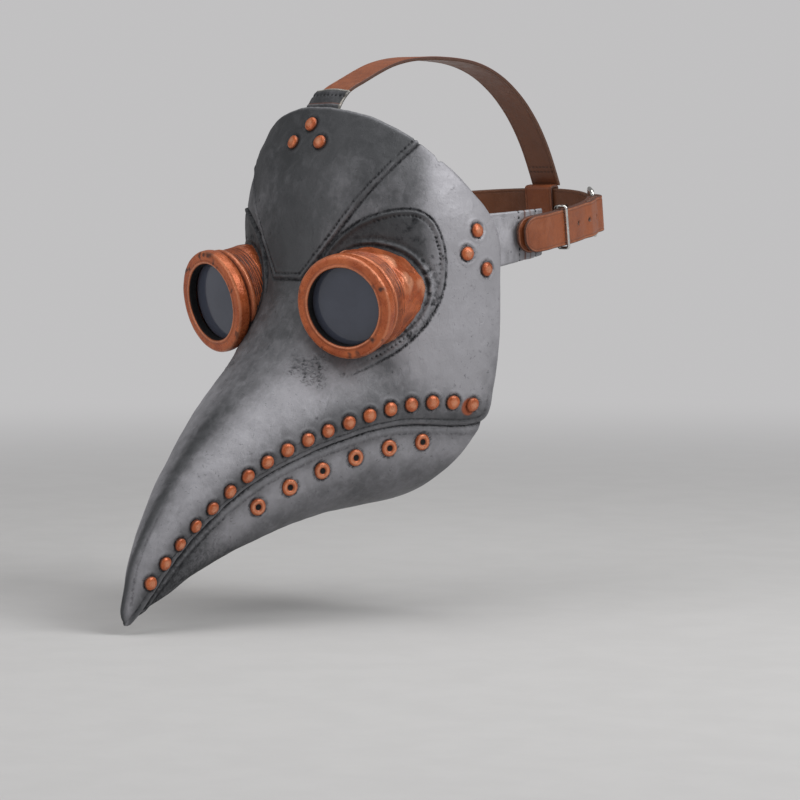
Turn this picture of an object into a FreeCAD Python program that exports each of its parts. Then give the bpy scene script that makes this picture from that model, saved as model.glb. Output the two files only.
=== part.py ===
import FreeCAD, Part
import math
import os

# Plague doctor mask: a moulded face shell with a long downturned beak, copper
# goggles and rivets, and a leather harness with a buckle at the rear left.
#
# Millimetres. The origin is the middle of the wearer's head at eye level.
# +X is the wearer's left, the mask faces -Y, and +Z is up.

Vector = FreeCAD.Vector
Rotation = FreeCAD.Rotation
Placement = FreeCAD.Placement

# ---------------------------------------------------------------- dimensions

SHELL_THICKNESS = 2.2
LOWER_THICKNESS = 2.0
TUCK_GAP = 0.45             # between the shell and whatever is tucked inside it
LAYER_GAP = 0.06            # between the shell and whatever is laid on it

# Face shell, from the brow (u = 0) to the tip of the beak (u = 1).  Each row is
# u, ridge y, ridge z, border x, border y, border z, fullness of the section.
FACE_STATIONS = [
    (0.00, -92, 99, 73, -35, 42, 2.05),
    (0.08, -102, 78, 76, -32, 32, 2.15),
    (0.18, -109, 54, 78, -32, 16, 2.15),
    (0.28, -113, 28, 78, -32, -8, 2.05),
    (0.38, -118, 4, 78, -34, -36, 1.92),
    (0.46, -126, -14, 76, -37, -58, 1.86),
    (0.52, -134, -26, 72, -43, -69.5, 1.86),
    (0.60, -150, -43, 60, -80, -69, 1.92),
    (0.70, -177, -67, 45, -121, -75.5, 2.0),
    (0.80, -208, -99, 28.5, -162, -92, 2.0),
    (0.90, -232, -134, 13.5, -200, -122, 2.0),
    (1.00, -241, -164, 3.0, -236, -164, 2.0),
]
MOUTH_CORNER = 0.50         # station where the lower beak starts

# Keel of the lower beak: u, y, z.
KEEL_STATIONS = [
    (0.50, -66, -118),
    (0.60, -106, -122),
    (0.70, -143.5, -130),
    (0.80, -180, -142),
    (0.90, -209.5, -155.5),
    (1.00, -236, -167),
]
FLANGE_AT_CORNER = 16.0     # how far the lower beak reaches up inside the shell
FLANGE_AT_TIP = 22.0
LARGEST_FLANGE = 0.72       # as a share of the section, from the border to the ridge
FLANGE_START = 1 / 14       # the flange leaves the border this share of its length up
ARCH_START = 0.97           # and the arch below leaves it here
TAPER_FROM_HALF_WIDTH = 8.0     # walls thin out where the beak is narrower than this
THINNEST_SECTION = 0.4      # half height and half width of an inner section are at least this
SHELL_END = 0.975           # the open arch stops here and the solid tip takes over
TIP_CENTRE = Vector(0, -233.0, -158.5)
TIP_HALF_SIZES = (5.4, 6.6, 9.5)       # across, front to back, along the beak
TIP_LEAN = 28.0             # the tip leans forward from straight down, degrees

# Goggles, measured along their own axis from the front of the rim.
GOGGLE_CENTRE = Vector(48.5, -126, -6)
GOGGLE_SPLAY = 13.0         # outward, degrees
GOGGLE_PITCH = 10.0         # downward, degrees
RIM_RADIUS = 28.0
RIM_BORE = 21.0
RIM_DEPTH = 8.0
RIM_ROUNDING = 1.6
LENS_RECESS = 5.0
LENS_RADIUS = 23.25
LENS_THICKNESS = 1.6
GASKET_BORE = 21.2
BARREL_RADIUS = 26.6
BARREL_BORE = 23.4
BARREL_REACH = 58.0
CLEAR_AHEAD = 10.0          # cuts along the axis start this far ahead of the rim
BARREL_GROOVES = (11.5, 15.5, 19.5)
GROOVE_WIDTH = 1.4
GROOVE_DEPTH = 0.8

# Eye patch outline across the goggle axis: outward from the nose, and up.
EYE_PATCH_OUTLINE = [
    (8, 43), (25, 41), (32.5, 27), (34, 10), (31, -8), (21, -24),
    (6, -34), (-11, -38.5), (-25, -31), (-30.5, -10), (-27, 13), (-13, 33),
]
EYE_PATCH_THICKNESS = 1.2
EYE_PATCH_SPAN = (0.04, 0.66, 0.08, 0.9)    # part of the face it is cut from: u, then turn

# Forehead panel: a V from the brow down to a flat foot on the bridge.
PANEL_TOP = 0.02
PANEL_FOOT = 0.362
PANEL_TOP_SPREAD = 0.53     # half spread at the brow, as a share of the section
PANEL_FOOT_SPREAD = 0.085
PANEL_THICKNESS = 1.0

# Rivets and eyelets.
LIP_RIVET_COUNT = 18
LIP_RIVET_LINE = [
    (73.5, -50, -59.7), (61.4, -88, -58.6), (48.6, -123.3, -67.3),
    (31.5, -167.2, -86.4), (15.2, -204, -119), (7.1, -226.6, -145.5),
]
LIP_RIVET_RADIUS_REAR = 3.9
LIP_RIVET_RADIUS_TIP = 3.4
EYELET_COUNT = 6
EYELET_LINE = [(59.5, -74.8, -79), (46.2, -112.5, -85.6), (25, -165.7, -109.4)]
EYELET_RADIUS = 4.5
EYELET_BORE = 1.6
EYELET_WALL = 0.7
EYELET_HEIGHT = 1.1
EYELET_ROUNDING = 0.7
TEMPLE_RIVETS = [(76, -49, 33.6), (75, -56, 21.3), (77, -43, 12.8)]
FOREHEAD_RIVETS = [(0, -97, 90), (-9.6, -101, 80.5), (9.6, -101, 80.5)]
RIVET_RADIUS = 3.8
RIVET_DOME = 0.55           # dome height as a share of its radius
SEAT_LIFT = 0.06            # heads clear the hollow of the curved wall by this
SHANK_RADIUS = 1.1
SHANK_CLEARANCE = 0.03
TAIL_RADIUS = 2.2
TAIL_HEIGHT = 0.8
POCKET_DEPTH = 4.0          # room cut inside the walls for a tail
GRIP_GAP = 0.25             # between the inmost wall and the rivet's tail

# Forehead strap tab, in side view, and temple tabs.
TAB_THICKNESS = 1.8
FOREHEAD_TAB_SPREAD = 0.1   # half width of the tab, as a share of the section
FOREHEAD_TAB_ROOT = 0.09    # how far down the forehead the tab reaches
FOREHEAD_TAB_RISE = [(2.6, 4.6), (5.8, 8.6), (9.4, 11.8)]   # (y, z) steps off the brow
TEMPLE_TAB_TOP = 0.005
TEMPLE_TAB_FOOT = 0.19
TEMPLE_TAB_ROOT = 0.76      # how far round the section the tab reaches forward
TEMPLE_TAB_END = Vector(79.9, 1.0, 32.0)    # middle of the tab's rear edge
TEMPLE_TAB_END_HEIGHT = 24.0

# Harness.  It lies in a plane that climbs towards the back of the head and
# turns on the two strap rivets.
HARNESS_PIVOT_Y = -10.0
HARNESS_PIVOT_Z = 31.0
HARNESS_SLOPE = 7.0
STRAP_WIDTH = 20.0
STRAP_THICKNESS = 2.0
STRAP_LAY = 0.15            # air between straps that lie on each other
STRAP_HALF_X = 80.4         # inner face of the straps in plan: an ellipse
STRAP_HALF_Y = 99.4
STRAP_FRONT_Y = -10.0       # strap ends, ahead of the pivot
TAIL_FRONT_Y = -8.0
PIVOT_HEAD_RADIUS = 3.6
PIVOT_HEAD_HEIGHT = 0.7
PIVOT_HEAD_CLEARANCE = 0.5  # between the head and the tail of the long strap over it
PIVOT_HEAD_GAP = 0.4        # the strap's face is not quite square to the rivet
PIVOT_GRIP = 5.7            # strap, tab and the gap between them
PIVOT_SHANK_RADIUS = 1.5
RUNNING_CLEARANCE = 0.05

# Buckle, by angle round the plan ellipse from the wearer's left.
PIVOT_BAR_ANGLE = 43.8
FAR_BAR_ANGLE = 55.2
BUCKLE_OFFSET = 3.3         # bar centres above the inner face of the strap
BUCKLE_WIRE = 1.2
BUCKLE_HALF_HEIGHT = 12.4
BUCKLE_CORNER = 2.4
FOLD_RADIUS = 3.2
FOLD_SLOT_RADIUS = 4.6      # slot in the fold for the ring of the prong
FOLD_END_ANGLE = 29.0
FOLD_RAMP = 5.0             # the long strap steps up over the end of the fold in this
PRONG_RADIUS = 0.9
PRONG_RING_RADIUS = 2.2
PRONG_RING_WIDTH = 2.4
PRONG_OVERHANG = 2.0
PRONG_SLOT_WIDTH = 3.2
PRONG_SLOT_SPAN = (46.0, 51.6)
STRAP_HOLE_ANGLES = (18.5, 27.0, 35.5, 66.0, 74.5)
STRAP_HOLE_RADIUS = 1.5
RIVET_BUMP = (-2.0, 4.0)    # angles over which the tail comes down off the strap rivet
CLIMB_START = 38.0          # the long strap climbs to the bar from here
BAR_MARGIN = 0.6            # and is level this near the bar, degrees
DROP_END = 53.6             # it is back on the head here
BEYOND = 200.0              # longer than anything a cut has to reach through

# Keeper loop on the left strap.
KEEPER_ANGLE = 9.4
KEEPER_WIRE = 0.9
KEEPER_CORNER = 1.4
KEEPER_GAP = 0.25

# Top strap, inner face in side view, from the forehead tab to the rear loop.
TOP_STRAP_PATH = [
    (-82.5, 98.6), (-72, 108.8), (-42, 121.4), (0, 126), (40, 120.6),
    (70, 103.2), (92, 76), (102, 55.6),
]
REAR_LOOP_GAP = 0.35
REAR_LOOP_WALL = 1.6

# ------------------------------------------------------------ shape helpers


def save(shape, node):
    """Write one node and check that it is a closed, valid shape."""
    if not shape.isValid() or shape.Volume <= 0:
        raise ValueError(node + " is not a valid solid")
    shape.exportStep("parts/" + node + ".step")
    print(node, len(shape.Solids), round(shape.Volume), "mm3")


def spline_through(points, parameters=None):
    """Smooth curve through points, at given parameters if there are any."""
    curve = Part.BSplineCurve()
    if parameters:
        curve.interpolate(Points=points, Parameters=parameters)
    else:
        curve.interpolate(Points=points)
    return curve


def spaced(start, end, count):
    """count values from start to end, evenly spaced."""
    return [start + (end - start) * i / (count - 1) for i in range(count)]


def largest(shape):
    return max(shape.Solids, key=lambda solid: solid.Volume)


def mirrored(shape):
    return shape.mirror(Vector(0, 0, 0), Vector(1, 0, 0))


def skin_solid(outer_rows, inner_rows):
    """Closed solid between two surfaces given as matching rows of points."""
    skins = []
    for rows in (outer_rows, inner_rows):
        surface = Part.BSplineSurface()
        surface.interpolate(rows)
        skins.append(surface.toShape())
    outer, inner = skins
    faces = [outer, inner]
    for outer_edge, inner_edge in zip(outer.Edges, inner.Edges):
        faces.append(Part.makeRuledSurface(outer_edge, inner_edge))
    sewn = Part.makeShell(faces)
    sewn.sewShape()
    solid = Part.makeSolid(sewn.Shells[0] if sewn.ShapeType == "Compound" else sewn)
    if solid.Volume < 0:
        solid.reverse()
    return solid


# ------------------------------------------------- face surface by formula

STATION_U = [row[0] for row in FACE_STATIONS]
RIDGE = spline_through([Vector(0, row[1], row[2]) for row in FACE_STATIONS], STATION_U)
BORDER = spline_through([Vector(*row[3:6]) for row in FACE_STATIONS], STATION_U)
FULLNESS = spline_through([Vector(row[6], row[0], 0) for row in FACE_STATIONS], STATION_U)
KEEL = spline_through(
    [Vector(0, row[1], row[2]) for row in KEEL_STATIONS],
    [row[0] for row in KEEL_STATIONS],
)


def wall_share(u):
    """1 over most of the mask, less where the beak is too narrow for full walls."""
    return min(1.0, BORDER.value(u).x / TAPER_FROM_HALF_WIDTH)


def arch_point(u, turn, inset, apex):
    """Point on the arch at station u that springs from the border.

    turn runs from -1 at the right border through 0 at the apex to 1 at the left.
    inset is how far the point lies inside the outer surface.
    """
    border = BORDER.value(u)
    foot = Vector(0, border.y, border.z)
    rise = apex - foot
    power = 2.0 / FULLNESS.value(u).x
    inset = inset * wall_share(u)
    height = max(rise.Length - inset, THINNEST_SECTION)
    half_width = max(border.x - inset, THINNEST_SECTION)
    angle = turn * math.pi / 2
    up_share = abs(math.cos(angle)) ** power
    side_share = math.copysign(abs(math.sin(angle)) ** power, turn)
    return foot + rise.normalize() * height * up_share + Vector(half_width * side_share, 0, 0)


def face_point(u, turn, inset=0.0):
    """Point on the face shell."""
    return arch_point(u, turn, inset, RIDGE.value(u))


def lower_point(u, turn, inset):
    """Point on the lower beak, whose arch hangs down to the keel."""
    border = BORDER.value(u)
    foot = Vector(0, border.y, border.z)
    drop = KEEL.value(u) - foot
    inset = inset * wall_share(u)
    angle = turn * math.pi / 2
    depth = max(drop.Length - inset, THINNEST_SECTION) * math.cos(angle)
    across = max(border.x - inset, THINNEST_SECTION) * math.sin(angle)
    return foot + drop.normalize() * depth + Vector(across, 0, 0)


def goggle_placement():
    """Frame at the left goggle: local +Z points out of the front of the rim."""
    splay = Rotation(Vector(0, 0, 1), GOGGLE_SPLAY)
    pitch = Rotation(Vector(1, 0, 0), GOGGLE_PITCH)
    forward = Rotation(Vector(1, 0, 0), 90)
    return Placement(GOGGLE_CENTRE, splay * pitch * forward)


GOGGLE = goggle_placement()


def along_goggle(shape):
    """Move a shape drawn on the local Z axis onto the left goggle's axis."""
    placed = shape.copy()
    placed.Placement = GOGGLE.multiply(placed.Placement)
    return placed


def turned_profile(points):
    """Ring turned about local Z from (radius, depth behind the rim) corners."""
    corners = [Vector(radius, 0, -depth) for radius, depth in points]
    face = Part.Face(Part.makePolygon(corners + corners[:1]))
    return face.revolve(Vector(0, 0, 0), Vector(0, 0, 1), 360)


def cylinder_about(radius, front, back):
    """Cylinder on the goggle axis between two depths behind the rim."""
    body = Part.makeCylinder(radius, back - front, Vector(0, 0, -back))
    return along_goggle(body)


# --------------------------------------------------------------- the pieces

def tip_solid(growth=0.0):
    """Solid rounded end of the beak: an ellipsoid that leans with the ridge."""
    left_half = Part.makeSphere(1.0, Vector(0, 0, 0), Vector(0, 0, 1), -90, 90, 180)
    left_half.rotate(Vector(0, 0, 0), Vector(0, 0, 1), -90)
    stretch = FreeCAD.Matrix()
    stretch.scale(*[size + growth for size in TIP_HALF_SIZES])
    egg = left_half.fuse(mirrored(left_half)).transformGeometry(stretch)
    egg.Placement = Placement(TIP_CENTRE, Rotation(Vector(1, 0, 0), -TIP_LEAN))
    return egg


SECTION_ROWS = 41
SECTION_POINTS = 33


def face_grid(inset, from_u=0.0, to_u=1.0, from_turn=-1.0, to_turn=1.0):
    rows = []
    for u in spaced(from_u, to_u, SECTION_ROWS):
        rows.append([face_point(u, turn, inset) for turn in spaced(from_turn, to_turn, SECTION_POINTS)])
    return rows


def make_face_shell():
    """Upper mask with its solid rounded tip and the two eye openings."""
    shell = skin_solid(
        face_grid(0.0, to_u=SHELL_END), face_grid(SHELL_THICKNESS, to_u=SHELL_END)
    )
    shell = shell.fuse(tip_solid())
    opening = cylinder_about(BARREL_BORE, -CLEAR_AHEAD, BARREL_REACH)
    return shell, shell.cut([opening, mirrored(opening)])


def lower_row(u, inset):
    """Section of the lower beak: flange inside the shell, then the arch to the keel."""
    share = (u - MOUTH_CORNER) / (1 - MOUTH_CORNER)
    flange_length = FLANGE_AT_CORNER + (FLANGE_AT_TIP - FLANGE_AT_CORNER) * share
    border = BORDER.value(u)
    rise = (RIDGE.value(u) - Vector(0, border.y, border.z)).Length
    flange = min(LARGEST_FLANGE, flange_length / (rise * math.pi / 2))
    flange_turns = spaced(1 - flange, 1 - flange * FLANGE_START, 7)
    half = [face_point(u, turn, inset) for turn in flange_turns]
    half += [lower_point(u, turn, inset) for turn in spaced(ARCH_START, 0.0, 15)]
    other = [Vector(-point.x, point.y, point.z) for point in reversed(half[:-1])]
    return half + other


LOWER_U = spaced(MOUTH_CORNER, SHELL_END, 31)


def make_lower_beak():
    outer = []
    inner = []
    outer_inset = SHELL_THICKNESS + TUCK_GAP
    for u in LOWER_U:
        outer.append(lower_row(u, outer_inset))
        inner.append(lower_row(u, outer_inset + LOWER_THICKNESS))
    beak = skin_solid(outer, inner)
    return largest(beak.cut(tip_solid(TUCK_GAP)))


def make_forehead_panel():
    """V-shaped panel laid on the forehead, narrowing to the bridge."""
    outer = []
    inner = []
    for u in spaced(PANEL_TOP, PANEL_FOOT, 25):
        share = (u - PANEL_TOP) / (PANEL_FOOT - PANEL_TOP)
        spread = PANEL_TOP_SPREAD + (PANEL_FOOT_SPREAD - PANEL_TOP_SPREAD) * share
        turns = spaced(-spread, spread, 25)
        outer.append([face_point(u, turn, -PANEL_THICKNESS - LAYER_GAP) for turn in turns])
        inner.append([face_point(u, turn, -LAYER_GAP) for turn in turns])
    return skin_solid(outer, inner)


def make_left_eye_patch():
    """Raised patch on the shell round the root of the left goggle."""
    top = face_grid(-EYE_PATCH_THICKNESS - LAYER_GAP, *EYE_PATCH_SPAN)
    layer = skin_solid(top, face_grid(-LAYER_GAP, *EYE_PATCH_SPAN))
    outline = Part.BSplineCurve()
    outline.interpolate(Points=[Vector(-x, y, 0) for x, y in EYE_PATCH_OUTLINE], PeriodicFlag=True)
    face = Part.Face(Part.Wire(outline.toShape()))
    prism = along_goggle(face.extrude(Vector(0, 0, -BARREL_REACH)))
    patch = layer.common(prism)
    around_barrel = cylinder_about(BARREL_RADIUS + LAYER_GAP, -CLEAR_AHEAD, BARREL_REACH)
    around_rim = cylinder_about(RIM_RADIUS + LAYER_GAP, -CLEAR_AHEAD, RIM_DEPTH + LAYER_GAP)
    return largest(patch.cut([around_barrel, around_rim]))


def make_left_barrel():
    """Tube that stands on the shell round the eye opening, grooved behind the rim."""
    start = RIM_DEPTH + LAYER_GAP
    corners = [(BARREL_BORE, start), (BARREL_RADIUS, start)]
    for depth in BARREL_GROOVES:
        floor = BARREL_RADIUS - GROOVE_DEPTH
        half = GROOVE_WIDTH / 2
        corners += [(BARREL_RADIUS, depth - half), (floor, depth - half / 2)]
        corners += [(floor, depth + half / 2), (BARREL_RADIUS, depth + half)]
    corners += [(BARREL_RADIUS, BARREL_REACH), (BARREL_BORE, BARREL_REACH)]
    tube = along_goggle(turned_profile(corners))
    # The shell closes the tube off, so what lies in front of it is the barrel.
    pieces = tube.cut(full_shell).Solids
    return min(pieces, key=lambda piece: piece.CenterOfMass.y)


def make_left_rim():
    """Front ring of the goggle, rounded, with a step behind its lip for the lens."""
    ring = turned_profile([
        (RIM_BORE, 0), (RIM_RADIUS, 0), (RIM_RADIUS, RIM_DEPTH),
        (LENS_RADIUS + LAYER_GAP, RIM_DEPTH), (LENS_RADIUS + LAYER_GAP, LENS_RECESS),
        (RIM_BORE, LENS_RECESS),
    ])
    front_edges = [edge for edge in ring.Edges if abs(edge.BoundBox.ZMin) < 1e-6]
    ring = ring.makeFillet(RIM_ROUNDING, front_edges)
    return largest(along_goggle(ring).cut(full_shell))


def ring_about_goggle(bore, radius, front, back):
    return cylinder_about(radius, front, back).cut(cylinder_about(bore, front, back))


# Rivets and eyelets ---------------------------------------------------------

def surface_of(rows):
    surface = Part.BSplineSurface()
    surface.interpolate(rows)
    return surface


FACE_SURFACE = surface_of(face_grid(0.0, to_u=SHELL_END))
LOWER_SURFACE = surface_of([lower_row(u, SHELL_THICKNESS + TUCK_GAP) for u in LOWER_U])


def seat_on(surface, point):
    """Placement on a surface below a point: local +Z is the outward normal."""
    u, v = surface.parameter(point)
    foot = surface.value(u, v)
    normal = surface.normal(u, v)
    if normal.dot(foot - Vector(0, 40, -20)) < 0:
        normal = normal.negative()
    return Placement(foot, Rotation(Vector(0, 0, 1), normal))


def rivet(seat, radius, depth):
    """Domed rivet: head on the surface, shank through the walls, tail inside them."""
    height = radius * RIVET_DOME
    ball = (radius * radius + height * height) / (2 * height)
    dome = Part.makeSphere(ball, Vector(0, 0, SEAT_LIFT + height - ball))
    head = dome.common(Part.makeCylinder(radius, 2 * radius, Vector(0, 0, SEAT_LIFT)))
    end = -depth - TAIL_HEIGHT
    shank = Part.makeCylinder(SHANK_RADIUS, height / 2 - end, Vector(0, 0, end))
    tail = Part.makeCylinder(TAIL_RADIUS, TAIL_HEIGHT, Vector(0, 0, end))
    whole = head.fuse([shank, tail])
    whole.Placement = seat.multiply(whole.Placement)
    return whole


def bore(seat, radius, depth):
    hole = Part.makeCylinder(radius, depth + RIVET_RADIUS, Vector(0, 0, -depth))
    hole.Placement = seat.multiply(hole.Placement)
    return hole


def pocket(seat, grip):
    """Room for a rivet's tail where the wall inside it is thick or curved."""
    start = Vector(0, 0, GRIP_GAP / 2 - grip - POCKET_DEPTH)
    room = Part.makeCylinder(TAIL_RADIUS + GRIP_GAP, POCKET_DEPTH, start)
    room.Placement = seat.multiply(room.Placement)
    return room


def seats_along(surface, line, count):
    curve = spline_through([Vector(*point) for point in line])
    return [seat_on(surface, point) for point in curve.discretize(Number=count)]


def rivet_set(seats, radii, depth):
    return Part.makeCompound([rivet(seat, radius, depth) for seat, radius in zip(seats, radii)])


def eyelet(seat, depth):
    """Eyelet: a rounded flange outside and a short tube through the wall."""
    flange = Part.makeCylinder(EYELET_RADIUS, EYELET_HEIGHT, Vector(0, 0, SEAT_LIFT))
    top = [edge for edge in flange.Edges if edge.BoundBox.ZMin > EYELET_HEIGHT]
    flange = flange.makeFillet(EYELET_ROUNDING, top)
    tube_radius = EYELET_BORE + EYELET_WALL
    tube = Part.makeCylinder(tube_radius, depth + EYELET_HEIGHT / 2, Vector(0, 0, -depth))
    opening = Part.makeCylinder(EYELET_BORE, depth + 4, Vector(0, 0, -depth - 1))
    whole = flange.fuse(tube).cut(opening)
    whole.Placement = seat.multiply(whole.Placement)
    return whole


# Straps ---------------------------------------------------------------------
# The harness is drawn flat: local Z is across the straps, and the origin is the
# middle of the head on the axis of the strap rivets.

HARNESS = Placement(
    Vector(0, HARNESS_PIVOT_Y, HARNESS_PIVOT_Z), Rotation(Vector(1, 0, 0), HARNESS_SLOPE)
)


def plan_point(angle, offset, height=0.0):
    """Point in the harness plane, offset outward from the straps' inner face."""
    turn = math.radians(angle)
    point = Vector(STRAP_HALF_X * math.cos(turn), STRAP_HALF_Y * math.sin(turn), 0)
    outward = Vector(math.cos(turn) / STRAP_HALF_X, math.sin(turn) / STRAP_HALF_Y, 0)
    return point + outward.normalize() * offset + Vector(0, -HARNESS_PIVOT_Y, height)


def angle_at(y):
    """Plan angle on the wearer's left where the strap lies at this y."""
    return math.degrees(math.asin(y / STRAP_HALF_Y))


def smooth(value, start, end):
    share = min(1.0, max(0.0, (value - start) / (end - start)))
    return share * share * (3 - 2 * share)


def band(from_angle, to_angle, lift, thickness=STRAP_THICKNESS, width=STRAP_WIDTH, step=2.0):
    """Strap along the plan ellipse; lift(angle) is its height off the inner face."""
    count = max(6, int(abs(to_angle - from_angle) / step) + 1)
    angles = spaced(from_angle, to_angle, count)
    inner = spline_through([plan_point(angle, lift(angle)) for angle in angles])
    outer = spline_through([plan_point(angle, lift(angle) + thickness) for angle in angles])
    edges = [
        inner.toShape(),
        Part.makeLine(inner.EndPoint, outer.EndPoint),
        outer.toShape(),
        Part.makeLine(outer.StartPoint, inner.StartPoint),
    ]
    face = Part.Face(Part.Wire(Part.sortEdges(edges)[0]))
    face.translate(Vector(0, 0, -width / 2))
    return face.extrude(Vector(0, 0, width))


def rounded_front(strap, front_y, left=True):
    """Round off the forward end of a strap, seen from the side."""
    radius = STRAP_WIDTH / 2
    start_x = 0 if left else -BEYOND
    ahead = 3 * radius
    blank = Part.makeBox(BEYOND, radius + ahead, 2 * ahead, Vector(start_x, front_y - ahead, -ahead))
    nose = Part.makeCylinder(radius, BEYOND, Vector(start_x, front_y + radius, 0), Vector(1, 0, 0))
    return largest(strap.cut(blank.cut(nose)))


def cross_bar(radius, angle, offset, half_height):
    centre = plan_point(angle, offset, -half_height)
    return Part.makeCylinder(radius, 2 * half_height, centre)


def hole_at(angle, radius):
    """Round hole through the straps at an angle."""
    inner = plan_point(angle, -STRAP_THICKNESS)
    outer = plan_point(angle, 6 * STRAP_THICKNESS)
    return Part.makeCylinder(radius, (outer - inner).Length, inner, outer - inner)


def wire_loop(first, second, wire_radius, half_height, corner):
    """Closed rectangular loop of round wire whose long sides stand on two points."""
    up = Vector(0, 0, half_height)
    corners = [first - up, second - up, second + up, first + up]
    edges = []
    for i, point in enumerate(corners):
        before = corners[i - 1]
        after = corners[(i + 1) % 4]
        toward_before = (before - point).normalize() * corner
        toward_after = (after - point).normalize() * corner
        middle = point + (toward_before + toward_after) * (1 - math.sqrt(0.5))
        edges.append(Part.Arc(point + toward_before, middle, point + toward_after).toShape())
        edges.append(Part.makeLine(point + toward_after, after + (point - after).normalize() * corner))
    path = Part.Wire(Part.sortEdges(edges)[0])
    side = path.Edges[0]
    start = side.valueAt(side.FirstParameter)
    heading = side.tangentAt(side.FirstParameter)
    ring = Part.Wire(Part.makeCircle(wire_radius, start, heading))
    return path.makePipeShell([ring], True, True)


def tail_lift(angle):
    """Height of the long strap off the inner face of the straps.

    From the back of the head it lies on the head, climbs over the pivot bar
    inside the buckle, and then lies on the short strap as a tail.
    """
    on_strap = STRAP_THICKNESS + STRAP_LAY
    on_fold = 2 * STRAP_THICKNESS + STRAP_LAY
    on_rivet = STRAP_THICKNESS + PIVOT_HEAD_GAP + PIVOT_HEAD_HEIGHT + PIVOT_HEAD_CLEARANCE
    over_bar = BUCKLE_OFFSET + FOLD_RADIUS + STRAP_LAY
    if angle < RIVET_BUMP[1]:
        return on_rivet + (on_strap - on_rivet) * smooth(angle, *RIVET_BUMP)
    if angle > PIVOT_BAR_ANGLE:
        return over_bar * (1 - smooth(angle, PIVOT_BAR_ANGLE + BAR_MARGIN, DROP_END))
    if angle > CLIMB_START:
        climb = smooth(angle, CLIMB_START, PIVOT_BAR_ANGLE - BAR_MARGIN)
        return on_fold + (over_bar - on_fold) * climb
    return on_strap + (on_fold - on_strap) * smooth(angle, FOLD_END_ANGLE - FOLD_RAMP, FOLD_END_ANGLE)


def make_left_strap():
    """Short strap: from the left tab to the fold that holds the buckle."""
    front = angle_at(STRAP_FRONT_Y + HARNESS_PIVOT_Y)
    strap = band(front, PIVOT_BAR_ANGLE, lambda angle: 0.0)
    fold_back = band(FOLD_END_ANGLE, PIVOT_BAR_ANGLE, lambda angle: STRAP_THICKNESS)
    roll = cross_bar(FOLD_RADIUS, PIVOT_BAR_ANGLE, BUCKLE_OFFSET, STRAP_WIDTH / 2)
    strap = strap.fuse([fold_back, roll])
    bar_hole = cross_bar(BUCKLE_WIRE + RUNNING_CLEARANCE, PIVOT_BAR_ANGLE, BUCKLE_OFFSET, STRAP_WIDTH)
    slot = cross_bar(FOLD_SLOT_RADIUS, PIVOT_BAR_ANGLE, BUCKLE_OFFSET, PRONG_SLOT_WIDTH / 2)
    strap = strap.cut([bar_hole, slot])
    return rounded_front(strap, STRAP_FRONT_Y)


def make_right_strap():
    """Long strap: from the right tab round the back, through the buckle, to its tail."""
    tail = angle_at(TAIL_FRONT_Y + HARNESS_PIVOT_Y)
    front = 180 - angle_at(STRAP_FRONT_Y + HARNESS_PIVOT_Y)
    strap = band(tail, front, tail_lift)
    slot_ends = [hole_at(angle, PRONG_SLOT_WIDTH / 2) for angle in PRONG_SLOT_SPAN]
    span = spaced(*PRONG_SLOT_SPAN, 7)
    slot = slot_ends + [hole_at(angle, PRONG_SLOT_WIDTH / 2) for angle in span[1:-1]]
    holes = [hole_at(angle, STRAP_HOLE_RADIUS) for angle in STRAP_HOLE_ANGLES]
    strap = strap.cut(slot + holes)
    strap = rounded_front(strap, TAIL_FRONT_Y)
    return rounded_front(strap, STRAP_FRONT_Y, left=False)


def make_buckle_prong():
    """Prong: a ring on the pivot bar and a pin that rests on the far bar."""
    pivot = plan_point(PIVOT_BAR_ANGLE, BUCKLE_OFFSET)
    rest = plan_point(FAR_BAR_ANGLE, BUCKLE_OFFSET + BUCKLE_WIRE + PRONG_RADIUS + RUNNING_CLEARANCE)
    reach = rest - pivot
    pin = Part.makeCylinder(PRONG_RADIUS, reach.Length + PRONG_OVERHANG, pivot, reach)
    ring = Part.makeCylinder(PRONG_RING_RADIUS, PRONG_RING_WIDTH, pivot - Vector(0, 0, PRONG_RING_WIDTH / 2))
    hole = cross_bar(BUCKLE_WIRE + RUNNING_CLEARANCE, PIVOT_BAR_ANGLE, BUCKLE_OFFSET, PRONG_RING_WIDTH)
    return ring.fuse(pin).cut(hole)


def make_top_strap():
    """Strap over the crown, with a sewn loop at the back round the side strap."""
    inner_points = [Vector(0, y, z) for y, z in TOP_STRAP_PATH]
    inner = spline_through(inner_points)
    stations = spaced(inner.FirstParameter, inner.LastParameter, 24)
    outer_points = []
    for station in stations:
        heading = inner.tangent(station)[0]
        outer_points.append(inner.value(station) + Vector(0, -heading.z, heading.y) * STRAP_THICKNESS)
    outer = spline_through(outer_points)
    edges = [
        inner.toShape(),
        Part.makeLine(inner.EndPoint, outer.EndPoint),
        outer.toShape(),
        Part.makeLine(outer.StartPoint, inner.StartPoint),
    ]
    face = Part.Face(Part.Wire(Part.sortEdges(edges)[0]))
    face.translate(Vector(-STRAP_WIDTH / 2, 0, 0))
    strap = face.extrude(Vector(STRAP_WIDTH, 0, 0))
    around = 2 * (REAR_LOOP_GAP + REAR_LOOP_WALL)
    sleeve = band(80, 100, lambda angle: -REAR_LOOP_GAP - REAR_LOOP_WALL,
                  STRAP_THICKNESS + around, STRAP_WIDTH + around)
    opening = band(78, 102, lambda angle: -REAR_LOOP_GAP,
                   STRAP_THICKNESS + 2 * REAR_LOOP_GAP, STRAP_WIDTH + 2 * REAR_LOOP_GAP)
    low = Vector(-STRAP_WIDTH / 2, 0, -2 * STRAP_WIDTH)
    sides = Part.makeBox(STRAP_WIDTH, BEYOND, 4 * STRAP_WIDTH, low)
    sleeve = sleeve.cut(opening).common(sides)
    sleeve.Placement = HARNESS
    opening.Placement = HARNESS
    return largest(strap.cut(opening).fuse(sleeve))


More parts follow.
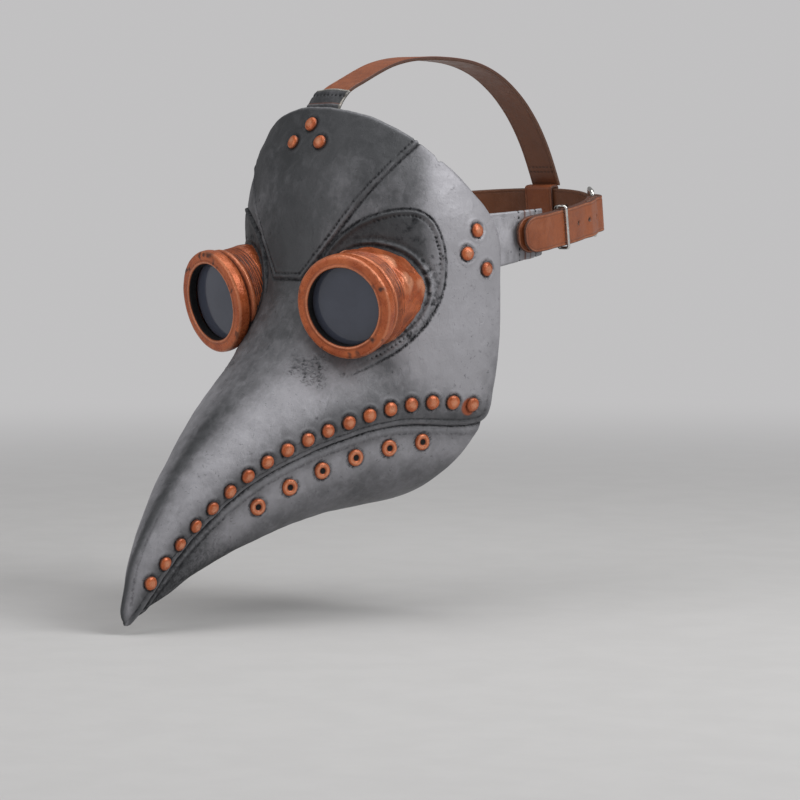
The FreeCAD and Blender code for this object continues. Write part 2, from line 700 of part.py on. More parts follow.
def make_left_temple_tab():
    """Tab tucked under the rear border of the shell, reaching back over the temple."""
    grids = []
    for inset in (0.0, TAB_THICKNESS):
        depth = SHELL_THICKNESS + TUCK_GAP + inset
        rows = []
        for across in spaced(0.0, 1.0, 9):
            u = TEMPLE_TAB_TOP + (TEMPLE_TAB_FOOT - TEMPLE_TAB_TOP) * across
            row = [face_point(u, turn, depth) for turn in spaced(TEMPLE_TAB_ROOT, 1.0, 8)]
            border = row[-1]
            run = TEMPLE_TAB_END - Vector(inset, 0, TEMPLE_TAB_END_HEIGHT * (across - 0.5)) - border
            for share in spaced(0.2, 1.0, 5):
                # The tab leans outward at first and then lies along the head.
                sideways = math.sin(share * math.pi / 2)
                row.append(border + Vector(run.x * sideways, run.y * share, run.z * share))
            rows.append(row)
        grids.append(rows)
    return skin_solid(*grids)


def make_forehead_tab():
    """Tongue that rises from behind the brow and ends over the front of the top strap."""
    grids = []
    for inset in (0.0, TAB_THICKNESS):
        depth = SHELL_THICKNESS + TUCK_GAP + inset
        rows = []
        for turn in spaced(-FOREHEAD_TAB_SPREAD, FOREHEAD_TAB_SPREAD, 9):
            row = [face_point(u, turn, depth) for u in spaced(FOREHEAD_TAB_ROOT, 0.0, 6)]
            row += [row[5] + Vector(0, back, up) for back, up in FOREHEAD_TAB_RISE]
            rows.append(row)
        grids.append(rows)
    return skin_solid(*grids)


def make_strap_rivet():
    """Rivet through the left temple tab and strap; the strap turns on its shank."""
    strap_face = plan_point(angle_at(HARNESS_PIVOT_Y), STRAP_THICKNESS).x
    head_start = strap_face + PIVOT_HEAD_GAP
    tail_start = strap_face - PIVOT_GRIP
    along = Vector(1, 0, 0)

    def disc(radius, start, length):
        centre = Vector(start, HARNESS_PIVOT_Y, HARNESS_PIVOT_Z)
        return Part.makeCylinder(radius, length, centre, along)

    head = disc(PIVOT_HEAD_RADIUS, head_start, PIVOT_HEAD_HEIGHT)
    shank = disc(PIVOT_SHANK_RADIUS, tail_start, head_start - tail_start)
    tail = disc(PIVOT_HEAD_RADIUS, tail_start - PIVOT_HEAD_HEIGHT, PIVOT_HEAD_HEIGHT)
    return head.fuse([shank, tail])


def pivot_bore(clearance):
    start = Vector(0, HARNESS_PIVOT_Y, HARNESS_PIVOT_Z)
    return Part.makeCylinder(PIVOT_SHANK_RADIUS + clearance, 120, start, Vector(1, 0, 0))


# ------------------------------------------------------------------- assembly

os.makedirs("parts", exist_ok=True)
full_shell, face_shell = make_face_shell()
lower_beak = make_lower_beak()
forehead_panel = make_forehead_panel()
forehead_tab = make_forehead_tab()
temple_tab = make_left_temple_tab()

# Rivets.  Each set is (seats, head radii, grip depth).
two_walls = SHELL_THICKNESS + TUCK_GAP
lip_seats = seats_along(FACE_SURFACE, LIP_RIVET_LINE, LIP_RIVET_COUNT)
lip_radii = spaced(LIP_RIVET_RADIUS_REAR, LIP_RIVET_RADIUS_TIP, LIP_RIVET_COUNT)
lip_grip = two_walls + LOWER_THICKNESS + GRIP_GAP
temple_seats = [seat_on(FACE_SURFACE, Vector(*point)) for point in TEMPLE_RIVETS]
temple_grip = two_walls + TAB_THICKNESS + GRIP_GAP
on_panel = Placement(Vector(0, 0, PANEL_THICKNESS + LAYER_GAP), Rotation())
forehead_seats = [
    seat_on(FACE_SURFACE, Vector(*point)).multiply(on_panel) for point in FOREHEAD_RIVETS
]
forehead_grip = two_walls + TAB_THICKNESS + PANEL_THICKNESS + LAYER_GAP + GRIP_GAP
eyelet_seats = seats_along(LOWER_SURFACE, EYELET_LINE, EYELET_COUNT)
eyelet_grip = LOWER_THICKNESS + GRIP_GAP

lip_rivets = rivet_set(lip_seats, lip_radii, lip_grip)
temple_rivets = rivet_set(temple_seats, [RIVET_RADIUS] * 3, temple_grip)
forehead_rivets = rivet_set(forehead_seats, [RIVET_RADIUS] * 3, forehead_grip)
eyelets = Part.makeCompound([eyelet(seat, eyelet_grip) for seat in eyelet_seats])

# Bores for every shank, on both sides.
bore_radius = SHANK_RADIUS + SHANK_CLEARANCE
lip_bores = [bore(seat, bore_radius, lip_grip + 1) for seat in lip_seats]
lip_pockets = [pocket(seat, lip_grip) for seat in lip_seats]
temple_bores = [bore(seat, bore_radius, temple_grip + 1) for seat in temple_seats]
forehead_bores = [bore(seat, bore_radius, forehead_grip + 1) for seat in forehead_seats]
eyelet_bores = [
    bore(seat, EYELET_BORE + EYELET_WALL + SHANK_CLEARANCE, eyelet_grip + 1) for seat in eyelet_seats
]


def both_sides(shapes):
    return shapes + [mirrored(shape) for shape in shapes]


face_shell = face_shell.cut(both_sides(lip_bores + lip_pockets + temple_bores) + forehead_bores)
lower_beak = largest(lower_beak.cut(both_sides(lip_bores + lip_pockets + eyelet_bores)))
forehead_panel = forehead_panel.cut(forehead_bores)
forehead_tab = forehead_tab.cut(forehead_bores)
temple_tab = temple_tab.cut(temple_bores + [pivot_bore(SHANK_CLEARANCE)])

# Goggle, from the front: rim, lens, gasket and barrel.
lens_front = LENS_RECESS + LAYER_GAP
lens_back = lens_front + LENS_THICKNESS
left_pieces = {
    "eye_patch": make_left_eye_patch(),
    "goggle_barrel": make_left_barrel(),
    "goggle_rim": make_left_rim(),
    "lens": cylinder_about(LENS_RADIUS, lens_front, lens_back),
    "lens_gasket": ring_about_goggle(GASKET_BORE, LENS_RADIUS, lens_back + LAYER_GAP, RIM_DEPTH),
    "beak_rivets": lip_rivets,
    "beak_eyelets": eyelets,
    "temple_rivets": temple_rivets,
    "temple_tab": temple_tab,
    "strap_rivet": make_strap_rivet(),
}
pieces = {
    "face_shell": face_shell,
    "lower_beak": lower_beak,
    "forehead_panel": forehead_panel,
    "forehead_rivets": forehead_rivets,
    "forehead_tab": forehead_tab,
    "top_strap": make_top_strap(),
}
for name, shape in left_pieces.items():
    pieces["left_" + name] = shape
    pieces["right_" + name] = mirrored(shape)

pivot_bar = plan_point(PIVOT_BAR_ANGLE, BUCKLE_OFFSET)
far_bar = plan_point(FAR_BAR_ANGLE, BUCKLE_OFFSET)
keeper_inside = plan_point(KEEPER_ANGLE, -KEEPER_WIRE - KEEPER_GAP)
keeper_outside = plan_point(KEEPER_ANGLE, 2 * STRAP_THICKNESS + KEEPER_WIRE + 2 * KEEPER_GAP)
keeper_half_height = STRAP_WIDTH / 2 + KEEPER_WIRE + 2 * KEEPER_GAP
harness_pieces = {
    "left_strap": make_left_strap(),
    "right_strap": make_right_strap(),
    "buckle_frame": wire_loop(
        pivot_bar, far_bar, BUCKLE_WIRE, BUCKLE_HALF_HEIGHT, BUCKLE_CORNER
    ),
    "buckle_prong": make_buckle_prong(),
    "keeper_loop": wire_loop(
        keeper_inside, keeper_outside, KEEPER_WIRE, keeper_half_height, KEEPER_CORNER
    ),
}
for name, shape in harness_pieces.items():
    shape.Placement = HARNESS
    pieces[name] = shape
strap_bore = pivot_bore(RUNNING_CLEARANCE)
pieces["left_strap"] = largest(pieces["left_strap"].cut(strap_bore))
pieces["right_strap"] = largest(pieces["right_strap"].cut(mirrored(strap_bore)))

for name, shape in pieces.items():
    save(shape, name)
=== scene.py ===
import math

import bmesh
import bpy
import numpy as np
from mathutils import Matrix, Vector, noise
from mathutils.bvhtree import BVHTree


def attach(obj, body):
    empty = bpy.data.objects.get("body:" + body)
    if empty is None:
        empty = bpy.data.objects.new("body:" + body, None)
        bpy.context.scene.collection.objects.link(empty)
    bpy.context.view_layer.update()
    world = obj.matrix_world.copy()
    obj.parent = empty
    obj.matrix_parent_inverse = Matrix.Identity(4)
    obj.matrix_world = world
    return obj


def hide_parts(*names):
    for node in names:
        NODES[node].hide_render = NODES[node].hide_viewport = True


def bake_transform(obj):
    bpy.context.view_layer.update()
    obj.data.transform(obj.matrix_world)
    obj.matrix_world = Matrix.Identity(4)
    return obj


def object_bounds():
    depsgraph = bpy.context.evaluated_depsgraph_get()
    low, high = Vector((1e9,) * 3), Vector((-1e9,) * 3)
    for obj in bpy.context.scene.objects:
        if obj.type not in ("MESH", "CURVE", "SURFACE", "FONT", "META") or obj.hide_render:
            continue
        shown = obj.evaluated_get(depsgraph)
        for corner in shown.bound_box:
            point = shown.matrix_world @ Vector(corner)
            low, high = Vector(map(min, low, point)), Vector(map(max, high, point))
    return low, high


# Plague doctor mask.  Numbers are in millimetres until a mesh is made.

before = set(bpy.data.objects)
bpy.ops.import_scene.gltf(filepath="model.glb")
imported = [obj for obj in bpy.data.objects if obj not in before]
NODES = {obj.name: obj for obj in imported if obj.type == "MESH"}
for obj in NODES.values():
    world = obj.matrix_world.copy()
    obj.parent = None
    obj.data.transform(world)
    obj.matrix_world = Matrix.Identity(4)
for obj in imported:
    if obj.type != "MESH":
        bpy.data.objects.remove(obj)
cad_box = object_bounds()
MM = 0.001
PINHOLE = 0.05              # radius of the innermost ring of a turned piece

# ------------------------------------------------------------ form of the face

# u, ridge y, ridge z, border x, border y, border z, fullness of the section
FACE_STATIONS = np.array([
    (0.00, -92, 99, 73, -35, 42, 2.05),
    (0.08, -102, 78, 76, -32, 32, 2.15),
    (0.18, -109, 54, 78, -32, 16, 2.15),
    (0.28, -113, 28, 78, -32, -8, 2.05),
    (0.38, -118, 4, 78, -34, -36, 1.92),
    (0.46, -126, -14, 76, -37, -58, 1.86),
    (0.52, -134, -26, 72, -43, -69.5, 1.86),
    (0.60, -150, -43, 60, -80, -69, 1.92),
    (0.70, -177, -67, 45, -121, -75.5, 2.0),
    (0.80, -208, -99, 28.5, -162, -92, 2.0),
    (0.90, -232, -134, 13.5, -200, -122, 2.0),
    (1.00, -241, -164, 3.0, -236, -164, 2.0),
])
# u, keel y, keel z
KEEL_STATIONS = np.array([
    (0.50, -66, -118),
    (0.60, -106, -122),
    (0.70, -143.5, -130),
    (0.80, -180, -142),
    (0.90, -209.5, -155.5),
    (1.00, -236, -167),
])
SHELL_THICKNESS = 2.2
LOWER_THICKNESS = 2.0
TUCK_GAP = 0.45
MOUTH_CORNER = 0.50
FULL_WALL_HALF_WIDTH = 8.0
NOSE_START = 0.972          # from here the beak closes to a rounded tip
GOGGLE_CENTRE = np.array((48.5, -126.0, -6.0))
GOGGLE_SPLAY = math.radians(13)
GOGGLE_PITCH = math.radians(10)
BARREL_RADIUS = 26.6
GOGGLE_REACH = 60.0         # the face behind this depth belongs to no goggle
THINNEST = 0.4              # least half width and height of a section
SIDES = ((1, "left"), (-1, "right"))


def spline(knots, values):
    """Cubic spline through values at knots, as a function of an array."""
    knots = np.asarray(knots, float)
    values = np.asarray(values, float)
    steps = np.diff(knots)
    slopes = np.diff(values, axis=0) / steps[:, None]
    count = len(knots)
    matrix = np.zeros((count, count))
    right = np.zeros_like(values)
    matrix[0, 0] = matrix[-1, -1] = 1.0
    for i in range(1, count - 1):
        matrix[i, i - 1] = steps[i - 1]
        matrix[i, i] = 2 * (steps[i - 1] + steps[i])
        matrix[i, i + 1] = steps[i]
        right[i] = 6 * (slopes[i] - slopes[i - 1])
    bends = np.linalg.solve(matrix, right)

    def at(u):
        u = np.asarray(u, float)
        i = np.clip(np.searchsorted(knots, u) - 1, 0, count - 2)
        step = steps[i][..., None]
        a = ((knots[i + 1] - u) / steps[i])[..., None]
        b = 1 - a
        bend = ((a ** 3 - a) * bends[i] + (b ** 3 - b) * bends[i + 1]) * step ** 2 / 6
        return a * values[i] + b * values[i + 1] + bend

    return at


stations_at = spline(FACE_STATIONS[:, 0], FACE_STATIONS[:, 1:])
keel_at = spline(KEEL_STATIONS[:, 0], KEEL_STATIONS[:, 1:])


def smooth(value, start, end):
    """0 at start and 1 at end, eased between them; start may be the larger one."""
    share = np.clip((value - start) / (end - start), 0, 1)
    return share * share * (3 - 2 * share)


def bump_at(value, centre, width):
    """1 where value is centre, dying away over about width on both sides."""
    return np.exp(-((value - centre) / width) ** 2)


def nose(u):
    """1 along the beak, falling to 0 at the very tip as a rounded end."""
    share = np.clip((u - NOSE_START) / (1 - NOSE_START), 0, 1)
    return np.sqrt(np.maximum(0, 1 - share ** 2.2))


def arch(u, turn, inset, apex, power=1.0):
    """Points on the arch from one border to the other, with apex halfway."""
    values = stations_at(u)
    half_width = values[..., 2]
    foot = np.stack([np.zeros_like(half_width), values[..., 3], values[..., 4]], -1)
    rise = apex - foot
    length = np.linalg.norm(rise, axis=-1)
    inset = inset * np.minimum(1, half_width / FULL_WALL_HALF_WIDTH)
    angle = turn * math.pi / 2
    height = np.maximum(length - inset, THINNEST) * nose(u) * np.abs(np.cos(angle)) ** power
    across = np.maximum(half_width - inset, THINNEST) * nose(u) * np.abs(np.sin(angle)) ** power
    point = foot + rise * (height / length)[..., None]
    point[..., 0] += across * np.sign(turn)
    return point


def face(u, turn, inset=0.0):
    """Points on the face shell.  turn is -1 at the right border and 1 at the left."""
    u, turn = np.broadcast_arrays(u, turn)
    values = stations_at(u)
    apex = np.stack([np.zeros_like(u, float), values[..., 0], values[..., 1]], -1)
    return arch(u, turn, inset, apex, 2 / values[..., 5])


def lower(u, turn, inset):
    """Points on the lower beak, from the mouth line at turn 1 to the keel at 0."""
    u, turn = np.broadcast_arrays(u, turn)
    keel = keel_at(u)
    apex = np.concatenate([np.zeros(keel.shape[:-1] + (1,)), keel], -1)
    return arch(u, turn, inset, apex)


def normals_of(grid):
    """Unit normals at the points of a grid."""
    along = np.gradient(grid, axis=0)
    across = np.gradient(grid, axis=1)
    normal = np.cross(along, across)
    length = np.linalg.norm(normal, axis=-1, keepdims=True)
    return normal / np.maximum(length, 1e-9)


def noise_at(points, size, shift):
    """Smooth noise between -1 and 1 at points, with features about size mm across."""
    flat = points.reshape(-1, 3) / size + shift
    values = [noise.noise(Vector(point)) for point in flat]
    return np.array(values).reshape(points.shape[:-1])


def noises_at(points, *kinds):
    """One layer of noise for each (size, shift)."""
    return [noise_at(points, size, shift) for size, shift in kinds]


def folded_over(points):
    """The points with those on the wearer's right mirrored to the left."""
    return points * np.where(points[..., :1] < 0, (-1, 1, 1), (1, 1, 1))


# --------------------------------------------------------------- goggle frame


def goggle_axes(side):
    """Unit vectors outward from the nose, up, and forward out of the rim."""
    forward = np.array((
        math.sin(GOGGLE_SPLAY) * math.cos(GOGGLE_PITCH) * side,
        -math.cos(GOGGLE_SPLAY) * math.cos(GOGGLE_PITCH),
        -math.sin(GOGGLE_PITCH),
    ))
    outward = np.array((math.cos(GOGGLE_SPLAY) * side, math.sin(GOGGLE_SPLAY), 0.0))
    up = np.cross(outward, forward) * -side
    return outward, up, forward


def goggle_centre(side):
    return GOGGLE_CENTRE * np.array((side, 1, 1))


def in_goggle(points, side):
    """Coordinates outward, up and forward from the middle of the rim's front."""
    outward, up, forward = goggle_axes(side)
    offset = points - goggle_centre(side)
    return offset @ outward, offset @ up, offset @ forward


def from_goggle(outward_by, up_by, forward_by, side):
    """Points from coordinates outward, up and forward: the reverse of in_goggle."""
    outward, up, forward = goggle_axes(side)
    return (goggle_centre(side) + np.multiply.outer(outward_by, outward)
            + np.multiply.outer(up_by, up) + np.multiply.outer(forward_by, forward))


# ---------------------------------------------------------------- mesh makers


def make_object(name, points, faces, body, attributes=None, smooth_faces=True):
    """Object from points in millimetres; attributes are one value per point."""
    mesh = bpy.data.meshes.new(name)
    mesh.from_pydata((np.asarray(points) * MM).tolist(), [], faces)
    mesh.update()
    for key, values in (attributes or {}).items():
        layer = mesh.attributes.new(key, "FLOAT", "POINT")
        layer.data.foreach_set("value", np.asarray(values, np.float32).ravel())
    mesh.polygons.foreach_set("use_smooth", [smooth_faces] * len(mesh.polygons))
    piece = bpy.data.objects.new(name, mesh)
    bpy.context.scene.collection.objects.link(piece)
    if body:
        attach(piece, body)
    return piece


def grid_faces(rows, columns, start=0, wrap_columns=False, flip=False):
    """Quads between the rows and columns of a grid whose first point is number start."""
    faces = []
    for row in range(start, start + (rows - 1) * columns, columns):
        for j in range(columns if wrap_columns else columns - 1):
            j_next = (j + 1) % columns
            quad = (row + j, row + columns + j, row + columns + j_next, row + j_next)
            faces.append(quad[::-1] if flip else quad)
    return faces


def tree_of(grid):
    """The surface of a grid of points, for finding the nearest place on it."""
    points = [Vector(point) for point in grid.reshape(-1, 3)]
    return BVHTree.FromPolygons(points, grid_faces(*grid.shape[:2]))


def marks_of(**values):
    """Values for the points of a mesh, kept between 0 and 1."""
    return {name: np.clip(value, 0, 1) for name, value in values.items()}


def rolled_border(outer_line, inner_line, outward, rows=5, roundness=0.5):
    """Rows that carry the outer border round to the inner one with a rounded edge."""
    result = []
    thickness = np.linalg.norm(outer_line - inner_line, axis=-1, keepdims=True)
    for share in np.linspace(0, 1, rows):
        middle = outer_line * (1 - share) + inner_line * share
        result.append(middle + outward * thickness * roundness * math.sin(math.pi * share))
    return np.array(result)


def skin_object(name, outer, inner, body, attributes, keep=None, stride=3):
    """Shell with a detailed outer grid, a coarser inner one and rounded borders.

    keep is False where the shell is open, and stride is the inner grid's step.
    """
    points, faces, owner, inside_share = [], [], [], []

    def add(grid, owners, share, flip, rule=None):
        """Adds a grid whose points take their values from their owners on the outer one."""
        start = sum(len(part) for part in points)
        quads = grid_faces(*grid.shape[:2], start, flip=flip)
        if rule and keep is not None:
            kept = keep.ravel()[owners.ravel()]
            quads = [quad for quad in quads if rule(kept[corner - start] for corner in quad)]
        faces.extend(quads)
        points.append(grid.reshape(-1, 3))
        owner.append(owners.ravel())
        inside_share.append(np.broadcast_to(share, owners.shape).ravel())

    rows, columns = outer.shape[:2]
    index = np.arange(rows * columns).reshape(rows, columns)
    pick = np.ix_(*[np.unique(np.append(np.arange(0, size, stride), size - 1))
                    for size in (rows, columns)])
    add(outer, index, 0.0, False, any)
    add(inner[pick], index[pick], 1.0, True, all)
    every = slice(None)
    for line, beside, flip in (
            ((0, every), (1, every), True), ((-1, every), (-2, every), False),
            ((every, 0), (every, 1), False), ((every, -1), (every, -2), True)):
        away = outer[line] - outer[beside]
        away /= np.maximum(np.linalg.norm(away, axis=-1, keepdims=True), 1e-6)
        strip = rolled_border(outer[line], inner[line], away)
        turned_in = smooth(np.linspace(0, 1, len(strip)), 0.35, 0.9)
        add(strip, np.tile(index[line], (len(strip), 1)), turned_in[:, None], flip)
    values = {key: value.ravel()[np.concatenate(owner)] for key, value in attributes.items()}
    values["inside"] = np.concatenate(inside_share)
    piece = make_object(name, np.concatenate(points), faces, body, values)
    weld(piece, 0.02)
    return piece


def weld(piece, distance):
    """Join points that lie within distance mm of each other."""
    mesh = bmesh.new()
    mesh.from_mesh(piece.data)
    bmesh.ops.remove_doubles(mesh, verts=mesh.verts, dist=distance * MM)
    mesh.to_mesh(piece.data)
    mesh.free()


def polyline_distance(points, line, closed=False, reach=25.0):
    """Distance of each point to a polyline, and how far along it the nearest place is."""
    flat = points.reshape(-1, 3)
    best = np.full(len(flat), reach)
    along = np.zeros(len(flat))
    near = np.where(np.linalg.norm(flat - line.mean(0), axis=1)
                    < np.linalg.norm(line - line.mean(0), axis=1).max() + reach)[0]
    subset = flat[near]
    ends = np.roll(line, -1, 0) if closed else line[1:]
    starts = line if closed else line[:-1]
    run = 0.0
    local_best = np.full(len(subset), reach)
    local_along = np.zeros(len(subset))
    for start, end in zip(starts, ends):
        step = end - start
        length = np.linalg.norm(step)
        share = np.clip((subset - start) @ step / length ** 2, 0, 1)
        gap = np.linalg.norm(subset - start - share[:, None] * step, axis=1)
        closer = gap < local_best
        local_best[closer] = gap[closer]
        local_along[closer] = run + share[closer] * length
        run += length
    best[near] = local_best
    along[near] = local_along
    return best.reshape(points.shape[:-1]), along.reshape(points.shape[:-1])


def even_path(path, count):
    """A path as count even steps, and how far along it each of their ends lies."""
    steps = np.linalg.norm(np.diff(path, axis=0), axis=1)
    run = np.concatenate([[0], np.cumsum(steps)])
    even = np.linspace(0, run[-1], count)
    return np.stack([np.interp(even, run, path[:, i]) for i in range(path.shape[1])], -1), even


# ------------------------------------------------------------------ materials


class Paint:
    """One material, the colour built up so far, and short names for its nodes."""

    def __init__(self, name):
        self.material = bpy.data.materials.new(name)
        self.material.use_nodes = True
        self.tree = self.material.node_tree
        self.shader = self.tree.nodes["Principled BSDF"]
        self.place = self.tree.nodes.new("ShaderNodeTexCoord").outputs["Object"]
        self.color = None
        self.height = None

    def node(self, kind, inputs=(), **settings):
        made = self.tree.nodes.new(kind)
        for key, value in settings.items():
            setattr(made, key, value)
        for key, value in dict(inputs).items():
            self.feed(made.inputs[key], value)
        return made

    def feed(self, socket, value):
        if isinstance(value, bpy.types.NodeSocket):
            self.tree.links.new(value, socket)
        elif isinstance(value, tuple) and len(value) == 3 and socket.type == "RGBA":
            socket.default_value = value + (1.0,)
        else:
            socket.default_value = value

    def noise(self, size, detail=5.0, stretch=(1, 1, 1), warp=0.0, shift=0.0):
        """Noise with features about size mm across; stretch makes them longer along an axis."""
        scale = tuple(1000.0 / size / part for part in stretch)
        mapped = self.node("ShaderNodeMapping", {
            "Vector": self.place, "Scale": scale, "Location": (shift, shift, shift),
        })
        return self.node("ShaderNodeTexNoise", {
            "Vector": mapped.outputs[0], "Scale": 1.0, "Detail": detail,
            "Roughness": 0.6, "Distortion": warp,
        }).outputs["Fac"]

    def range(self, value, low, high, to_low=0.0, to_high=1.0):
        return self.node("ShaderNodeMapRange", {
            "Value": value, "From Min": low, "From Max": high,
            "To Min": to_low, "To Max": to_high,
        }, interpolation_type="SMOOTHSTEP").outputs[0]

    def fit(self, value, to_low, to_high):
        """A value between 0 and 1, eased onto another range."""
        return self.range(value, 0, 1, to_low, to_high)

    def mark(self, name):
        """A value stored on the mesh's points."""
        return self.node("ShaderNodeAttribute", attribute_name=name).outputs["Fac"]

    def maths(self, operation, first, second):
        return self.node("ShaderNodeMath", {0: first, 1: second}, operation=operation).outputs[0]

    def plus(self, first, second):
        return self.maths("ADD", first, second)

    def times(self, first, second):
        return self.maths("MULTIPLY", first, second)

    def mix(self, share, first, second):
        made = self.tree.nodes.new("ShaderNodeMix")
        made.data_type = "RGBA"
        self.feed(made.inputs[0], share)
        self.feed(made.inputs[6], first)
        self.feed(made.inputs[7], second)
        return made.outputs[2]

    def coat(self, share, color):
        """Covers that share of the colour so far with another one."""
        self.color = self.mix(share, self.color, color)

    def coat_marks(self, **colors):
        """Covers the marked parts of the mesh, one mark after the other."""
        for name, color in colors.items():
            self.coat(self.mark(name), color)

    def emboss(self, value, depth):
        """Adds value, times depth in mm, to the surface relief."""
        made = self.node("ShaderNodeBump", {"Height": value, "Distance": depth * MM, "Strength": 1.0})
        if self.height is not None:
            self.tree.links.new(self.height, made.inputs["Normal"])
        self.height = made.outputs[0]

    def finish(self, roughness, metallic=0.0, specular=0.5, **more):
        inputs = {"Base Color": self.color, "Roughness": roughness, "Metallic": metallic,
                  "Specular IOR Level": specular}
        inputs.update({key.replace("_", " "): value for key, value in more.items()})
        for key, value in inputs.items():
            self.feed(self.shader.inputs[key], value)
        if self.height is not None:
            self.tree.links.new(self.height, self.shader.inputs["Normal"])
        return self.material


def pewter_latex():
    """Dark latex painted grey, dry-brushed with silver, with black wash in the hollows; parts of the
    lighter and darker marks are painted highlight and painted shade.
    """
    paint = Paint("pewter_latex")
    broad = paint.range(paint.noise(38, 4, warp=0.6), 0.3, 0.7)
    mottle = paint.range(paint.noise(7, 6, warp=0.6, shift=3.1), 0.32, 0.7)
    fine = paint.range(paint.noise(1.6, 5, shift=7.7), 0.35, 0.7)
    brush = paint.range(paint.noise(3.2, 5, stretch=(1, 2, 2), warp=0.8), 0.40, 0.70)
    nicks = paint.range(paint.noise(2.4, 7, warp=1.4, shift=8.1), 0.61, 0.69)
    silver = paint.mark("silver")
    broken = paint.plus(silver, paint.fit(mottle, -0.05, 0.05))
    broken = paint.plus(broken, paint.fit(brush, -0.025, 0.025))
    specks = paint.times(paint.times(fine, brush), 0.3)
    dirt_and_shade = paint.mark("grime")
    stipple = paint.range(paint.noise(2.2, 7, warp=0.8, shift=5.3), 0.36, 0.64, -0.20, 0.20)
    stipple = paint.times(stipple, paint.range(dirt_and_shade, 0.03, 0.3))
    grime = paint.plus(paint.times(dirt_and_shade, paint.fit(mottle, 0.65, 1.0)), stipple)
    grime = paint.fit(grime, 0, 1)
    inside = paint.mark("inside")

    paint.color = paint.mix(broad, (0.052, 0.055, 0.059), (0.070, 0.072, 0.077))
    paint.coat(paint.times(mottle, 0.25), (0.105, 0.106, 0.114))
    # Silver dry-brush, which in places is a painted highlight, or is held back as painted shade.
    paint.coat(paint.range(broken, 0.0, 1.05), (0.38, 0.375, 0.40))
    paint.coat(paint.times(specks, silver), (0.40, 0.40, 0.43))
    # Worn paint, in places a painted highlight.
    paint.coat(paint.times(paint.mark("worn"), paint.fit(fine, 0.55, 1.0)), (0.30, 0.30, 0.32))
    # Black wash, which in places is painted shade.
    paint.coat(grime, (0.016, 0.017, 0.02))
    paint.coat(paint.times(nicks, 0.45), (0.03, 0.03, 0.034))
    paint.coat_marks(copper=(0.36, 0.10, 0.045), stain=(0.16, 0.07, 0.05),
                     raw=(0.72, 0.68, 0.60), inside=(0.028, 0.028, 0.03))
    for size, detail, warp, shift, depth in (
            (9, 3, 0.0, 1.3, 0.35), (2.2, 4, 0.5, 0.0, 0.10), (0.7, 3, 0.0, 0.0, 0.06)):
        paint.emboss(paint.noise(size, detail, warp=warp, shift=shift), depth)
    scratches = paint.noise(1.1, 2, stretch=(1, 9, 9), warp=0.2)
    paint.emboss(paint.range(scratches, 0.62, 0.7), 0.05)
    roughness = paint.plus(paint.fit(mottle, 0.50, 0.62), paint.times(grime, 0.2))
    roughness = paint.plus(roughness, paint.times(inside, 0.2))
    return paint.finish(roughness, paint.fit(inside, 0.45, 0.0), 0.45)


def copper_paint(name, lumps):
    """Copper paint rubbed bright on the high places, with black wash left in the low ones; part of the
    brightening is painted highlight, and part of the dark is painted shade.
    """
    paint = Paint(name)
    broad = paint.range(paint.noise(13, 4, warp=0.5), 0.33, 0.67)
    mottle = paint.range(paint.noise(4.2, 5, warp=0.9, shift=5.0), 0.36, 0.7)
    fine = paint.range(paint.noise(0.9, 4, shift=2.0), 0.4, 0.7)
    spots = paint.range(paint.noise(3.6, 7, warp=1.4, shift=9.0), 0.69, 0.74)
    grime = paint.times(paint.mark("grime"), paint.fit(mottle, 1.0, 0.65))
    bore = paint.mark("bore")

    paint.color = paint.mix(broad, (0.37, 0.074, 0.020), (0.54, 0.132, 0.040))
    paint.coat(paint.times(mottle, 0.25), (0.60, 0.18, 0.07))
    # Rubbed paint, partly a painted highlight.
    paint.coat(paint.times(paint.mark("worn"), 0.8), (0.74, 0.33, 0.19))
    paint.coat(paint.times(spots, 0.75), (0.05, 0.025, 0.02))
    # Black wash, partly painted shade.
    paint.coat(grime, (0.020, 0.012, 0.010))
    # Near black: the rim's bore, and painted shade in the middle of each eyelet.
    paint.coat(bore, (0.0015, 0.0015, 0.002))
    paint.emboss(mottle, 0.12 * lumps)
    paint.emboss(fine, 0.02)
    roughness = paint.plus(paint.fit(mottle, 0.26, 0.38), paint.times(grime, 0.3))
    roughness = paint.plus(roughness, paint.times(bore, 0.4))
    shine = paint.maths("SUBTRACT", 1.0, paint.maths("MAXIMUM", grime, bore))
    return paint.finish(roughness, paint.times(shine, 0.35))


def smoked_lens():
    """Glossy grey plastic with a little dust."""
    paint = Paint("smoked_lens")
    haze = paint.range(paint.noise(16, 3, warp=0.4), 0.3, 0.7)
    dust = paint.range(paint.noise(0.6, 2), 0.7, 0.78)
    paint.color = paint.mix(haze, (0.062, 0.069, 0.094), (0.070, 0.078, 0.106))
    paint.coat(paint.times(dust, 0.25), (0.22, 0.22, 0.24))
    paint.emboss(paint.noise(20, 2), 0.02)
    roughness = paint.range(paint.noise(5, 5, shift=4.0), 0.3, 0.7, 0.08, 0.16)
    return paint.finish(roughness, specular=0.45, Coat_Weight=0.25, Coat_Roughness=0.04)


def black_rubber():
    paint = Paint("black_rubber")
    mottle = paint.range(paint.noise(4, 5), 0.35, 0.65)
    paint.color = paint.mix(mottle, (0.010, 0.010, 0.011), (0.022, 0.022, 0.024))
    paint.emboss(paint.noise(0.5, 3), 0.05)
    return paint.finish(paint.fit(mottle, 0.5, 0.65))


